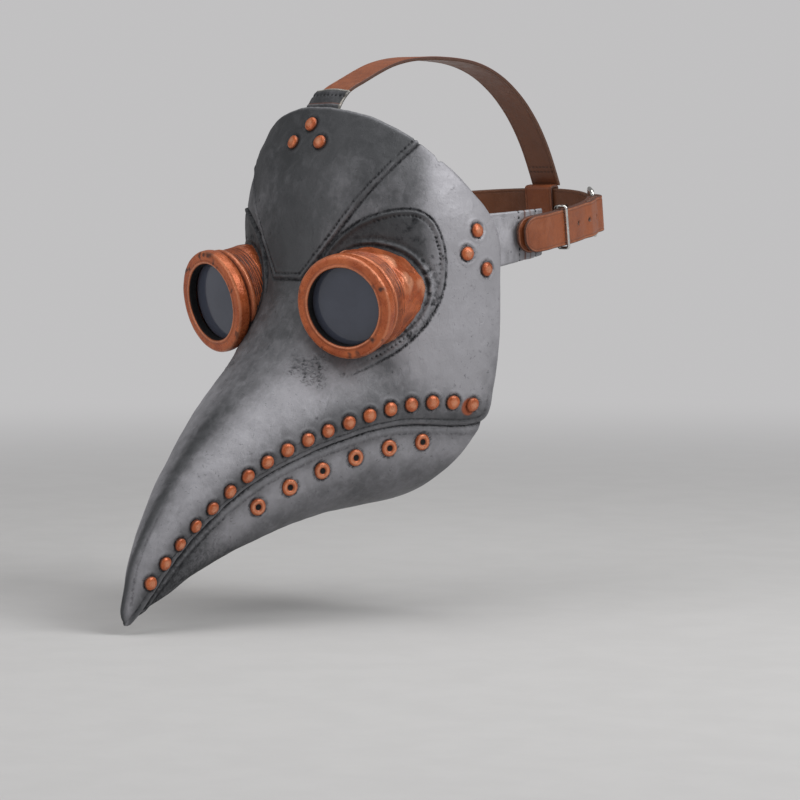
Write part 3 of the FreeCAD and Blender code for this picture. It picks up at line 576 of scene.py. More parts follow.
def brown_leather():
    """Smooth finished strap leather with fine grain, darker cut edges and light wear; its holes are
    shallow pits coloured near black as painted shade.
    """
    paint = Paint("brown_leather")
    broad = paint.range(paint.noise(22, 4, warp=0.4), 0.35, 0.65)
    mottle = paint.range(paint.noise(4, 6, warp=0.5, shift=6.0), 0.36, 0.68)
    cells = paint.node("ShaderNodeTexVoronoi", {"Vector": paint.place, "Scale": 1000 / 0.75})
    pores = paint.range(cells.outputs["Distance"], 0.05, 0.55)

    paint.color = paint.mix(broad, (0.225, 0.060, 0.020), (0.30, 0.085, 0.030))
    paint.coat(paint.times(mottle, 0.35), (0.36, 0.110, 0.045))
    paint.coat(paint.fit(pores, 0.28, 0.0), (0.11, 0.035, 0.02))
    paint.coat(paint.times(paint.mark("worn"), mottle), (0.40, 0.17, 0.09))
    paint.coat_marks(edge=(0.075, 0.028, 0.018), inside=(0.15, 0.075, 0.045),
                     grime=(0.012, 0.008, 0.007))
    paint.emboss(pores, 0.07)
    paint.emboss(paint.noise(3, 4), 0.12)
    return paint.finish(paint.plus(paint.fit(mottle, 0.36, 0.5), paint.times(paint.mark("edge"), 0.25)))


def nickel_wire():
    """Bright plated wire, drawn lengthwise and dulled in patches."""
    paint = Paint("nickel_wire")
    mottle = paint.range(paint.noise(3, 5, warp=0.5), 0.35, 0.7)
    tarnish = paint.range(paint.noise(5, 6, shift=8.0), 0.58, 0.75)
    paint.color = paint.mix(mottle, (0.66, 0.65, 0.62), (0.80, 0.79, 0.76))
    paint.coat(paint.times(tarnish, 0.5), (0.30, 0.27, 0.23))
    paint.emboss(paint.noise(0.35, 3, stretch=(1, 1, 12)), 0.02)
    return paint.finish(paint.fit(mottle, 0.16, 0.3), metallic=1.0)


# Each material, and the name of a slot of the frame.
PEWTER = (pewter_latex(), "grey_latex")
COPPER = (copper_paint("copper_paint", lumps=1.0), "copper_paint")
RIVET_COPPER = (copper_paint("rivet_copper", lumps=0.6), "copper_rivet")
LENS = (smoked_lens(), "dark_lens")
LEATHER = (brown_leather(), "brown_leather")
RUBBER = black_rubber()
NICKEL = nickel_wire()


def dress(piece, dressing, *replaced):
    """Gives a piece its material, and hides the CAD nodes that it stands for."""
    material, slot = dressing
    piece.data.materials.clear()
    piece.data.materials.append(material)
    if replaced:
        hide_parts(*replaced)


# ---------------------------------------------------------- face shell, graded

ROWS = 430
COLUMNS = 361
U, TURN = np.meshgrid(np.linspace(0, 1, ROWS), np.linspace(-1, 1, COLUMNS), indexing="ij")
# The solid tip of the beak is drawn down beyond the last station.
TIP_DROP = np.array((0.0, -0.8, -3.1))
TIP_DROP_START = 0.93
# Outline of the raised patch round each goggle: outward from the nose, and up.
EYE_PATCH_CORNERS = [
    (8, 43), (25, 41), (32.5, 27), (34, 10), (31, -8), (21, -24),
    (6, -34), (-11, -38.5), (-25, -31), (-30.5, -10), (-27, 13), (-13, 33),
]
# The forehead panel narrows from the brow to its foot between the goggles.
PANEL_FOOT = 0.362
PANEL_TURN_AT_BROW = 0.54
PANEL_TURN_AT_FOOT = 0.085
NICK_TURN = 0.655           # the cut in the brow's border
NICK_WIDTH = 0.012
NICK_DEPTH = 1.6
FOLD_CENTRE = (29.0, -132.0, -40.0)
FOLD_SIZE = (15.0, 13.0, 12.0)
CHEEK_CENTRE = (77.0, -48.0, -24.0)
CHEEK_SIZE = (14, 20, 24)
PANEL_STITCHES = (2.4, 2.6)         # distance inside the seam, and pitch
PATCH_STITCHES = (3.0, 2.6)

tip_drop = smooth(U, TIP_DROP_START, 1.0)[..., None] * TIP_DROP
smooth_face = face(U, TURN) + tip_drop
face_normals = normals_of(smooth_face)
if face_normals[ROWS // 4, COLUMNS // 2, 1] > 0:
    face_normals = -face_normals
face_tree = tree_of(smooth_face[::2, ::2])


def inside_outline(across, up, outline):
    """True where (across, up) lies inside a closed outline of points."""
    inside = np.zeros(across.shape, bool)
    for (x0, y0), (x1, y1) in zip(outline, np.roll(outline, -1, 0)):
        crosses = (y0 > up) != (y1 > up)
        with np.errstate(divide="ignore", invalid="ignore"):
            reach = x0 + (up - y0) * (x1 - x0) / (y1 - y0)
        inside ^= crosses & (across < reach)
    return inside


def closed_curve(corners, count):
    """Smooth closed curve through corners."""
    corners = np.asarray(corners, float)
    total = len(corners)
    wrapped = np.concatenate([corners[-3:], corners, corners[:4]])
    curve = spline(np.arange(-3, total + 4), wrapped)
    return curve(np.arange(count) * total / count)


def onto_face(across_by, up_by, side=1):
    """Point where a line along the goggle axis meets the smooth face."""
    start = from_goggle(across_by, up_by, 40.0, side)
    forward = goggle_axes(side)[2]
    hit = face_tree.ray_cast(Vector(start), Vector(-forward))[0]
    return None if hit is None else np.array(hit)


def panel_turn(u):
    """Turn of the forehead panel's side border at u."""
    return PANEL_TURN_AT_BROW - (PANEL_TURN_AT_BROW - PANEL_TURN_AT_FOOT) * u / PANEL_FOOT


def signed(gap, inside):
    """Distance to an outline, positive inside it."""
    return np.where(inside, gap, -gap)


def stitch_marks(gap, run, at, pitch=2.9, width=0.55, length=0.62):
    """Rows of small marks a distance at inside a seam."""
    beat = np.abs(((run / pitch) % 1) - 0.5) * 2
    return bump_at(gap, at, width) * smooth(beat, 1 - length, 1 - length + 0.25)


def ridges(gap, *profile):
    """Height of a seam's cross-section: the sum of (height, place, half width) ridges."""
    return sum(height * bump_at(gap, place, width) for height, place, width in profile)


eye_patch = closed_curve(EYE_PATCH_CORNERS, 96)
patch_hits = [onto_face(*corner) for corner in eye_patch]
patch_line = np.array([point for point in patch_hits if point is not None])
panel_u = np.linspace(0, PANEL_FOOT, 40)
foot_turns = np.linspace(panel_turn(PANEL_FOOT), 0, 8)[1:]
panel_line = np.concatenate([
    face(panel_u, panel_turn(panel_u)), face(np.full(len(foot_turns), PANEL_FOOT), foot_turns),
])

folded = folded_over(smooth_face)
out_by, up_by, ahead_by = in_goggle(folded, 1)
from_axis = np.hypot(out_by, up_by)
near_goggle = smooth(-ahead_by, 70, 50) * (ahead_by < 12)
patch_gap, patch_run = polyline_distance(folded, patch_line, closed=True)
in_patch = inside_outline(out_by, up_by, eye_patch) & (ahead_by > -GOGGLE_REACH)
patch_gap = signed(patch_gap, in_patch)
# The patch is proud of the face outside and above the goggle, and dies away below.
patch_share = np.maximum(smooth(out_by, 0, 14), smooth(up_by, -2, 14))
panel_gap, panel_run = polyline_distance(folded, panel_line)
in_panel = (np.abs(TURN) < panel_turn(U)) & (U < PANEL_FOOT)
panel_gap = signed(panel_gap, in_panel)
border_top = polyline_distance(folded, smooth_face[0, COLUMNS // 2:])[0]
border_side = polyline_distance(folded, smooth_face[:, -1], reach=30.0)[0]
ridge_away = np.abs(folded[..., 0])
mouth = smooth(U, 0.44, 0.47)

large, medium, small = noises_at(smooth_face, (24.0, 3.0), (9.0, 11.0), (3.4, 19.0))
relief = 0.55 * large + 0.22 * medium + 0.05 * small

# Forehead panel with a turned seam, and the stitches beside it.
seam_wander = panel_gap + 0.35 * medium
uneven_work = np.clip(0.75 + 0.9 * medium + 0.8 * small, 0.1, 1.2)
panel_stitch = stitch_marks(seam_wander, panel_run + 1.2 * medium, *PANEL_STITCHES) * uneven_work
relief += 0.85 * smooth(panel_gap, -0.25, 0.45)
relief += ridges(panel_gap, (-0.55, -0.6, 0.6))
relief += ridges(seam_wander, (0.45, 0.9, 0.6), (-0.42, 2.3, 0.45)) * uneven_work
relief += ridges(seam_wander, (0.25, 3.3, 0.7)) - 0.4 * panel_stitch

# Patch round each goggle, its stitches, and the lip that holds the goggle's root.
patch_stitch = stitch_marks(patch_gap + 0.3 * medium, patch_run + medium, *PATCH_STITCHES)
patch_stitch *= smooth(out_by, -4, 12) * np.clip(1.3 * uneven_work, 0, 1.3)
patch_seam = smooth(patch_gap, -0.2, 0.5)
patch_seam += ridges(patch_gap, (-0.7, -0.35, 0.4), (0.35, 1.1, 0.8), (-0.22, 3.1, 0.6))
relief += patch_seam * patch_share - 0.5 * patch_stitch
lip_share = near_goggle * in_patch * smooth(out_by + 0.4 * up_by, 0, 14)
root_lip = bump_at(from_axis + 0.5 * medium, BARREL_RADIUS + 2.0, 0.9) * lip_share
root_groove = bump_at(from_axis, BARREL_RADIUS + 0.6, 0.9) * near_goggle
brow_hollow = in_patch * smooth(up_by, 4, 30) * smooth(out_by, 22, 2) * smooth(patch_gap, 0.5, 5)
relief += 0.65 * root_lip - 0.5 * root_groove - 1.2 * brow_hollow
relief -= 0.35 * bump_at(from_axis, BARREL_RADIUS + 4.0, 1.2) * lip_share

# Rolled border along the mouth, and a softly thinned rear and top border.
lip_groove = bump_at(border_side, 3.1, 0.6) * mouth
relief += 0.6 * bump_at(border_side, 1.3, 1.0) * mouth - 0.35 * lip_groove
relief -= 0.35 * (smooth(border_top, 1.6, 0.0) + smooth(border_side, 1.6, 0.0) * (1 - mouth))

# Fine folds below each goggle towards the nose, and thin lines on the cheek.
fold_away = np.linalg.norm((folded - FOLD_CENTRE) / FOLD_SIZE, axis=-1)
fold_zone = smooth(fold_away + 0.35 * medium, 1.15, 0.35)
folds = noise_at(smooth_face * (0.8, 1.0, 2.6) + 1.2 * medium[..., None], 2.0, 41.0)
relief += (0.40 * folds - 0.2) * fold_zone
cheek_folds = smooth(np.abs(noise_at(smooth_face * (0.5, 1.0, 0.8), 9.0, 53.0)), 0.05, 0.0)
cheek_away = np.linalg.norm((folded - CHEEK_CENTRE) / CHEEK_SIZE, axis=-1)
cheek_folds *= smooth(cheek_away, 1.1, 0.3)
relief -= 0.15 * cheek_folds

# A ridge seam runs beside the top of the beak, near the tip.
ridge_seam = bump_at(ridge_away, 3.4, 0.8) * smooth(U, 0.80, 0.88) * smooth(U, 0.99, 0.96)
relief -= 0.45 * ridge_seam
relief += 0.35 * bump_at(ridge_away, 0.0, 3.0) * smooth(U, 0.6, 0.75)


def islands(node):
    """The separate bodies of a CAD node, each as an array of points in mm."""
    mesh = NODES[node].data
    points = np.array([vertex.co for vertex in mesh.vertices]) / MM
    same = np.unique(np.round(points, 3), axis=0, return_inverse=True)[1].ravel()
    edges = np.array([edge.vertices for edge in mesh.edges])
    ends = same[edges]
    label = np.arange(same.max() + 1)
    while True:
        lowest = np.minimum(label[ends[:, 0]], label[ends[:, 1]])
        before = label.copy()
        np.minimum.at(label, ends[:, 0], lowest)
        np.minimum.at(label, ends[:, 1], lowest)
        if (before == label).all():
            break
    owner = label[same]
    return [points[owner == name] for name in np.unique(owner)]


def head_seats(node, tree):
    """(place, outward, radius) of each rivet or eyelet of a node."""
    seats = []
    for points in islands(node):
        middle = Vector(points.mean(0))
        place, outward = tree.find_nearest(middle)[:2]
        behind = Vector((0, middle.y + 30, -40))
        if outward.dot(middle - behind) < 0:
            outward = -outward
        place, outward = np.array(place), np.array(outward)
        offset = points - place
        radius = np.linalg.norm(offset - np.outer(offset @ outward, outward), axis=1).max()
        seats.append((place, outward, radius))
    return seats


FACE_RIVETS = ("left_beak_rivets", "right_beak_rivets", "left_temple_rivets",
               "right_temple_rivets", "forehead_rivets")
EYELETS = ("left_beak_eyelets", "right_beak_eyelets")
SMEAR_BEHIND_Y = -54        # only the rearmost stud of the left lip has smeared paint
rivet_shadow_and_wash = np.zeros_like(U)
copper_smear = np.zeros_like(U)
for node in FACE_RIVETS:
    for place, outward, radius in head_seats(node, face_tree):
        away = np.linalg.norm(smooth_face - place, axis=-1)
        relief += ridges(away, (-0.45, radius + 0.15, 0.85), (0.25, radius + 2.0, 0.9))
        # A dark ring round each rivet's foot: black wash and a painted shadow.
        rings = (bump_at(away, radius + 0.2, 0.7), 0.5 * bump_at(away, radius + 0.7, 1.3))
        rivet_shadow_and_wash = np.maximum(rivet_shadow_and_wash, np.maximum(*rings))
        if node == "left_beak_rivets" and place[1] > SMEAR_BEHIND_Y:
            drip = np.linalg.norm(smooth_face - place - (0, -2.4, -1.2), axis=-1)
            copper_smear = np.maximum(copper_smear, smooth(drip, radius + 1.3, radius + 0.5))

# Hand-cut borders: they wander a little, with one small nick in the brow.
wander = 0.5 * noise_at(smooth_face, 14.0, 71.0) + 0.25 * noise_at(smooth_face, 4.0, 73.0)
pull = wander * smooth(border_top, 8, 0)
pull += NICK_DEPTH * bump_at(TURN, NICK_TURN, NICK_WIDTH) * smooth(border_top, 4, 0)
down = np.gradient(smooth_face, axis=0)
down /= np.maximum(np.linalg.norm(down, axis=-1, keepdims=True), 1e-6)
pulled = down * (pull * smooth(np.abs(TURN), 1.0, 0.97))[..., None]
outer_face = smooth_face + face_normals * (relief * nose(U) ** 0.5)[..., None] + pulled
inner_face = face(U, TURN, SHELL_THICKNESS) + tip_drop + pulled

# Where the paint is silver: the sides, less so the ridge, the patches and the tip. A band along each
# side of the beak is lightened as a painted highlight, and the hollow in the upper nasal part of each
# patch is darkened as painted shade.
turned = np.abs(TURN)
wide_turn = turned + 0.06 * large
silver = 0.30 + 0.72 * smooth(wide_turn, 0.46, 0.68) * smooth(U, 0.56, 0.44)
silver -= 0.45 * smooth(wide_turn, 0.86, 1.0) * smooth(U, 0.28, 0.42) * smooth(U, 0.6, 0.5)
silver -= 0.22 * in_panel * smooth(panel_gap, -2, 4)
silver += 0.20 * bump_at(turned, 0.22, 0.10) * in_panel * smooth(U, 0.02, 0.2)
# Painted shade: the hollow in the upper nasal part of each patch gets less silver.
silver -= 0.55 * in_patch * smooth(up_by, 0, 20) * smooth(out_by, 28, 6)
silver -= 0.40 * in_patch * smooth(up_by, -30, -18) * smooth(out_by, 6, 24)
# Painted highlight: a lighter band along the middle of each side of the beak.
silver += 0.48 * bump_at(turned, 0.36, 0.26) * smooth(U, 0.46, 0.64)
silver -= 0.30 * smooth(turned, 0.16, 0.0) * smooth(U, 0.62, 0.72)
silver -= 0.20 * bump_at(U, 0.36, 0.08) * smooth(turned, 0.36, 0.10)
silver += 0.12 * root_lip - 0.25 * smooth(U, 0.86, 1.0) + 0.10 * large + 0.05 * medium

# Where it is worn: the borders, the turned edges of the seams and the goggle's lip. The bead along the
# mouth is lightened as worn paint and a painted highlight.
worn = 0.75 * smooth(border_top, 1.0, 0.2) + 0.7 * smooth(border_side, 0.9, 0.2)
worn += 0.5 * bump_at(panel_gap, 0.5, 0.35) * (0.6 + 0.8 * medium)
worn += 0.4 * bump_at(patch_gap, 0.5, 0.35) * smooth(out_by, -4, 20) * (0.7 + 0.8 * medium)
worn += 0.35 * root_lip * smooth(small + medium, -0.2, 0.6)
# The bead along the mouth: worn paint and a painted highlight.
worn += 0.4 * bump_at(border_side, 1.2, 0.6) * mouth

# Where black wash is left: grooves, stitches and folds. The hollow in the upper nasal part of each
# patch, and a broad ring round the goggle's root on the nose's side, are darkened as painted shade.
grime = ridges(panel_gap, (1.0, -0.7, 0.8)) + ridges(seam_wander, (0.65, 2.5, 0.5))
grime += 1.1 * bump_at(patch_gap, -0.7, 0.8) * np.maximum(patch_share, 0.6 * smooth(out_by, -8, 6))
grime += 1.1 * patch_stitch + 0.9 * panel_stitch + 0.14 * cheek_folds
grime += (0.12 + 0.5 * smooth(small + 0.4 * medium, 0.1, 0.6)) * in_patch * smooth(out_by, 6, 20)
grime += 0.75 * root_groove + 0.3 * bump_at(from_axis, BARREL_RADIUS + 4.2, 1.2) * lip_share
grime += 0.55 * lip_groove + 0.35 * ridge_seam
grime += fold_zone * (0.30 + 0.40 * smooth(folds, 0.0, -0.45))
# Painted shade in that hollow, and in a broad ring round the goggle's root on the nose's side.
grime += 0.35 * in_patch * smooth(up_by, 8, 30) * smooth(out_by, 20, 0) * (0.7 + 0.6 * medium)
grime += 0.12 * bump_at(from_axis, BARREL_RADIUS + 4, 7) * near_goggle * smooth(out_by, 8, -12)
grime += 0.5 * smooth(small + 0.5 * medium, 0.62, 0.95)
grime = np.maximum(grime, 0.95 * rivet_shadow_and_wash)

open_eye = (from_axis > BARREL_RADIUS - 1.6) | (ahead_by < -GOGGLE_REACH) | (ahead_by > 20)
face_piece = skin_object(
    "face_shell_painted", outer_face, inner_face, "mask",
    marks_of(silver=silver, worn=worn, grime=grime, copper=copper_smear), open_eye)
dress(face_piece, PEWTER, "face_shell", "forehead_panel", "left_eye_patch", "right_eye_patch")
face_skin_tree = tree_of(outer_face)

# ------------------------------------------------------------------ lower beak

LOWER_ROWS = 190
LOWER_COLUMNS = 151
FLANGE_COLUMNS = 12
FLANGE_AT_CORNER = 16.0
FLANGE_AT_TIP = 22.0
LOWER_END = 0.982
CORNER_SCALE = 150.0        # turns u near the mouth corner into a rough distance
LOWER_SIDE = 0.985          # the surface under the flange starts just inside the mouth line
lower_u = np.linspace(MOUTH_CORNER, LOWER_END, LOWER_ROWS)
tuck = SHELL_THICKNESS + TUCK_GAP


def lower_grid(inset):
    """Rows of the lower beak, each from the left flange round the keel to the right one."""
    rows = []
    for u in lower_u:
        rise = np.linalg.norm(stations_at(u)[:2] - stations_at(u)[3:5])
        share = (u - MOUTH_CORNER) / (1 - MOUTH_CORNER)
        flange = FLANGE_AT_CORNER + (FLANGE_AT_TIP - FLANGE_AT_CORNER) * share
        reach = min(0.72, flange / (rise * math.pi / 2))
        flange_turns = np.linspace(1 - reach, 1 - reach / 14, FLANGE_COLUMNS)
        flank = face(u, flange_turns, inset)
        under = lower(u, np.linspace(LOWER_SIDE, -LOWER_SIDE, LOWER_COLUMNS), inset)
        rows.append(np.concatenate([flank, under, flank[::-1] * (-1, 1, 1)]))
    return np.array(rows)


lower_outer = lower_grid(tuck)
lower_inner = lower_grid(tuck + LOWER_THICKNESS)
lower_normals = -normals_of(lower_outer)
if lower_normals[20, lower_outer.shape[1] // 2, 2] > 0:
    lower_normals = -lower_normals
along_beak = np.broadcast_to(lower_u[:, None], lower_outer.shape[:2])
below = np.zeros_like(along_beak)
below[:, FLANGE_COLUMNS:-FLANGE_COLUMNS] = 1
lip_away = polyline_distance(folded_over(lower_outer), face(lower_u, 1.0))[0]
keel_away = np.abs(lower_outer[..., 0])
rear_away = (along_beak - MOUTH_CORNER) * CORNER_SCALE
large, medium, small = noises_at(lower_outer, (22.0, 7.0), (8.0, 17.0), (3.0, 27.0))

relief = 0.5 * large + 0.15 * medium + 0.04 * small
relief += 1.7 * smooth(lip_away, 8.5, 3.4) - 0.35 * bump_at(lip_away, 5.6, 0.7)
relief -= 0.3 * bump_at(keel_away, 4.5, 1.0) * smooth(along_beak, 0.7, 0.85)
grime = 0.9 * smooth(lip_away, 3.2, 2.2) + 0.4 * bump_at(lip_away, 5.6, 0.7)
# Painted shade: darker towards the keel, on the underside.
grime += 0.55 * smooth(keel_away, 26, 2)
lower_tree = tree_of(lower_outer)
for node in EYELETS:
    for place, outward, radius in head_seats(node, lower_tree):
        away = np.linalg.norm(lower_outer - place, axis=-1)
        relief -= 0.4 * bump_at(away, radius + 0.2, 0.9)
        grime = np.maximum(grime, 0.85 * bump_at(away, radius + 0.3, 0.9))
# Painted light: a lighter band below the mouth line on the upper side, and less silver towards the keel
# as painted shade.
silver = 0.36 + 0.32 * bump_at(lip_away, 13, 9) - 0.45 * smooth(keel_away, 22, 4)
silver += 0.12 * large + 0.04 * medium
worn = 0.45 * bump_at(lip_away, 3.9, 0.6) + 0.6 * smooth(rear_away, 0.9, 0.2)
lower_outer = lower_outer + lower_normals * (relief * below * nose(along_beak) ** 0.5)[..., None]
lower_piece = skin_object("lower_beak_painted", lower_outer, lower_inner, "mask",
                          marks_of(silver=silver, worn=worn * below, grime=grime))
dress(lower_piece, PEWTER, "lower_beak")
lower_skin_tree = tree_of(lower_outer)

# --------------------------------------------------------------------- goggles

SEGMENTS = 220
angles = np.linspace(0, 2 * math.pi, SEGMENTS, endpoint=False)
# Radius and depth behind the rim's front, from the bore round the front to the back.
RIM_PROFILE = [
    (20.95, 4.95), (20.95, 1.3), (21.3, 0.5), (21.9, 0.15), (22.6, 0.25), (23.1, 0.5),
    (25.8, 0.45), (27.1, 0.75), (27.9, 1.9), (28.0, 5.2), (27.7, 6.9), (27.0, 7.8), (25.6, 8.2),
]
BORE_RADIUS = 21.35
LENS_EDGE = 21.0
LENS_RADIUS = 21.2
LENS_SKIRT = 1.2            # how far the lens runs back behind its edge
LENS_FRONT = 5.4
LENS_BULGE = 0.9
BARREL_ROWS = 110
BARREL_START = 7.6
BARREL_GROOVE = 8.6         # depth of the groove behind the rim
BARREL_RING = 11.2          # depth of the raised ring behind that groove
BARREL_SOFT = (19.5, 25.0)  # the depths between which the dents and folds begin
BARREL_OVERLAP = 1.2        # how far the barrel runs on into the face
# Fine turned lines behind that ring: depth, half width.
BARREL_LINES = ((13.6, 0.5), (14.8, 0.35), (16.0, 0.4), (17.1, 0.3), (18.4, 0.45), (20.2, 0.35))


def turned_grid(radii, depths, side):
    """Surface of revolution about a goggle axis; radii and depths may vary by angle."""
    radii = np.broadcast_to(np.asarray(radii, float), (len(radii), SEGMENTS))
    depths = np.broadcast_to(np.asarray(depths, float), radii.shape)
    return from_goggle(radii * np.cos(angles), radii * np.sin(angles), -depths, side)


def rounded_rows(corners, count, softness=2):
    """Evenly spaced points along a path whose corners are softened."""
    path = even_path(np.asarray(corners, float), count)[0]
    for _ in range(softness):
        path[1:-1] = (path[:-2] + 2 * path[1:-1] + path[2:]) / 4
    return path


def goggle_piece(name, node, grid, side, dressing, marks=None, more_faces=()):
    """One turned piece of a goggle, in place of the CAD node."""
    faces = grid_faces(*grid.shape[:2], wrap_columns=True, flip=side > 0) + list(more_faces)
    piece = make_object(name, grid.reshape(-1, 3), faces, "mask", marks)
    dress(piece, dressing, node)


def make_rim(side, name):
    """Turned ring that holds the lens, with paint worn off its edges; the bright ring at the bore's lip
    is partly a painted highlight.
    """
    outward, up, _ = goggle_axes(side)
    across = np.outer(np.cos(angles), outward) + np.outer(np.sin(angles), up)
    rows = rounded_rows(RIM_PROFILE, 64)
    grid = turned_grid(rows[:, :1], rows[:, 1:], side)
    wobble, grain = noises_at(grid, (9.0, 5.0 * side), (2.6, 15.0 * side))
    grid = grid + across * (0.16 * wobble + 0.05 * grain)[..., None]
    radius, depth = rows[:, :1], rows[:, 1:]
    front = depth < 1
    # The bright ring at the bore's lip: worn paint and a painted highlight.
    worn = 0.8 * bump_at(radius, 21.9, 0.35) * front + 0.5 * bump_at(radius, 27.4, 0.5) * (depth < 2)
    grime = 0.35 * bump_at(radius, 23.1, 0.4) * front + 0.8 * smooth(depth, 6.6, 7.8)
    grime = grime + 0.85 * smooth(wobble + 0.8 * grain, 0.42, 0.72) * smooth(depth, 3, 0.5)
    bore = (radius < BORE_RADIUS) * smooth(depth, 0.45, 0.9)
    level = np.zeros_like(wobble)
    marks = marks_of(worn=worn + level, grime=grime, bore=bore + level)
    goggle_piece(name + "_goggle_rim_painted", name + "_goggle_rim", grid, side, COPPER, marks)


def barrel_reach(side):
    """How far back the barrel has to go to meet the face, all round its axis."""
    reach = []
    for angle in angles:
        hit = onto_face(BARREL_RADIUS * math.cos(angle), BARREL_RADIUS * math.sin(angle), side)
        reach.append(9.0 if hit is None else -in_goggle(hit, side)[2])
    return np.clip(np.array(reach) + BARREL_OVERLAP, 8.6, 56.0)


def make_barrel(side, name):
    """Tube from the rim back to the face: turned in front, dented and folded behind."""
    reach = barrel_reach(side)
    depth = BARREL_START + (reach - BARREL_START) * np.linspace(0, 1, BARREL_ROWS)[:, None]
    base = turned_grid(np.full((BARREL_ROWS, 1), BARREL_RADIUS), depth, side)
    dents = noise_at(base * (1, 0.75, 1), 11.0, 31.0 * side)
    lumps, grain, swell = noises_at(base, (5.5, 33.0 * side), (2.0, 39.0 * side), (6.0, 43.0 * side))
    folds = noise_at(base * (1, 0.6, 1) + 2.5 * dents[..., None], 8.0, 37.0 * side)
    crease = smooth(np.abs(folds), 0.11, 0.0)
    soft = smooth(depth, *BARREL_SOFT)
    radius = BARREL_RADIUS - 0.35 + 0.14 * swell
    radius += ridges(depth, (-1.2, BARREL_GROOVE, 0.8), (0.7, BARREL_RING, 1.4))
    grime = 0.95 * bump_at(depth, BARREL_GROOVE + 0.1, 0.9)
    for line, sharp in BARREL_LINES:
        line_here = bump_at(depth, line + 0.4 * noise_at(base, 12.0, line), sharp)
        radius -= 0.55 * line_here
        grime += line_here * (0.9 + 0.7 * lumps)
    radius += soft * (1.5 * dents + 0.25 * lumps - 0.35 * crease + 0.4)
    radius += 0.04 * grain - 0.8 * bump_at(depth - reach, -1.4, 1.3) * soft
    grime += soft * (0.4 * crease * smooth(grain + lumps, -0.4, 0.3)
                     + 0.45 * smooth(dents + 0.3 * lumps, -0.15, -0.6))
    grime += 0.55 * smooth(reach - depth, 1.6, 0.5)
    # Lighter tops of the dents and of the raised ring: rubbed paint and a painted highlight.
    worn = 0.9 * soft * smooth(dents + 0.4 * lumps, 0.12, 0.5) + 0.5 * bump_at(depth, BARREL_RING, 0.9)
    marks = marks_of(worn=worn, grime=grime, bore=np.zeros_like(grime))
    grid = turned_grid(radius, depth, side)
    goggle_piece(name + "_goggle_barrel_painted", name + "_goggle_barrel", grid, side, COPPER, marks)


def make_lens(side, name):
    """Slightly bulging disc; its hole in the middle is closed with one face."""
    radii = np.concatenate([np.linspace(PINHOLE, LENS_EDGE, 30), (LENS_RADIUS, LENS_RADIUS)])
    depths = LENS_FRONT + LENS_BULGE * (radii / 24) ** 2
    depths[-1] += LENS_SKIRT
    grid = turned_grid(radii[:, None], depths[:, None], side)
    middle = tuple(range(SEGMENTS))[::-1 if side < 0 else 1]
    goggle_piece(name + "_lens_smoked", name + "_lens", grid, side, LENS, more_faces=[middle])


for side, name in SIDES:
    make_rim(side, name)
    make_barrel(side, name)
    make_lens(side, name)

# ---------------------------------------------------------- rivets and eyelets

HEAD_SEGMENTS = 36
EYELET_RADIUS = 4.5         # the radius that the eyelet's profile is drawn for


def seat_axes(outward):
    """Two unit vectors across the outward one."""
    helper = np.array((0.0, 0.0, 1.0)) if abs(outward[2]) < 0.9 else np.array((0.0, 1.0, 0.0))
    first = np.cross(helper, outward)
    first /= np.linalg.norm(first)
    return first, np.cross(outward, first)


def turned_heads(node, ending, tree, profile_of, head_marks):
    """Small turned pieces in one object; profile_of(radius) gives (radius, height) rows."""
    points, faces, values = [], [], {}
    count = 0
    turn = np.linspace(0, 2 * math.pi, HEAD_SEGMENTS, endpoint=False)
    for index, (place, outward, radius) in enumerate(head_seats(node, tree)):
        first, second = seat_axes(outward)
        profile = profile_of(radius)
        ring = np.cos(turn)[:, None] * first + np.sin(turn)[:, None] * second
        grid = place + profile[:, :1, None] * ring + profile[:, 1:, None] * outward
        uneven, dents = noises_at(grid, (radius * 1.1, 3.0 + index), (radius * 0.45, 13.0 + index))
        grid = grid + outward * (0.16 * uneven + 0.07 * dents)[..., None]
        grid = grid + ring * (0.12 * uneven * (profile[:, :1] / radius))[..., None]
        points.append(grid.reshape(-1, 3))
        faces += grid_faces(*grid.shape[:2], count, wrap_columns=True)
        count += dents.size
        for key, value in head_marks(profile[:, :1], radius, dents).items():
            values.setdefault(key, []).append(np.broadcast_to(value, dents.shape).ravel())
    piece = make_object(node + ending, np.concatenate(points), faces, "mask",
                        {key: np.concatenate(value) for key, value in values.items()})
    dress(piece, RIVET_COPPER, node)


def dome_profile(radius):
    lean = np.linspace(0, math.pi / 2, 12)
    dome = np.stack([radius * np.sin(lean) ** 0.85, 0.48 * radius * np.cos(lean) ** 0.9], -1)
    dome[0, 0] = PINHOLE
    skirt = np.array([(radius * 0.99, -0.25), (radius * 0.96, -0.9)])
    return np.concatenate([dome, skirt])


# Each dome is lighter on top and darker at its foot: rubbed paint and black wash, and partly a painted
# highlight and a painted shadow.
def dome_marks(spread, radius, dents):
    share = spread / radius
    return marks_of(
        worn=0.8 * smooth(share, 0.75, 0.2) + 0.4 * dents,
        grime=0.75 * smooth(share, 0.90, 1.0) + 0.3 * smooth(dents, 0.35, 0.7),
        bore=np.zeros_like(dents))


# The hole in the middle is closed by a flat disc, coloured near black as painted shade.
def eyelet_profile(radius):
    return rounded_rows([
        (PINHOLE, 0.3), (1.2, 0.3), (1.5, 0.45), (2.0, 0.95), (2.9, 1.15), (3.8, 0.95),
        (radius, 0.1), (radius - 0.1, -0.8),
    ], 26) * (radius / EYELET_RADIUS, 1.0)


# Darker towards the hole and near black in it as painted shade; the dark at the outer edge is black
# wash.
def eyelet_marks(spread, radius, dents):
    return marks_of(
        worn=0.8 * bump_at(spread, 3.0, 0.7) + 0.3 * dents,
        grime=0.7 * smooth(spread, radius - 0.5, radius) + 0.6 * smooth(spread, 2.1, 1.6),
        bore=smooth(spread, 1.75, 1.45))


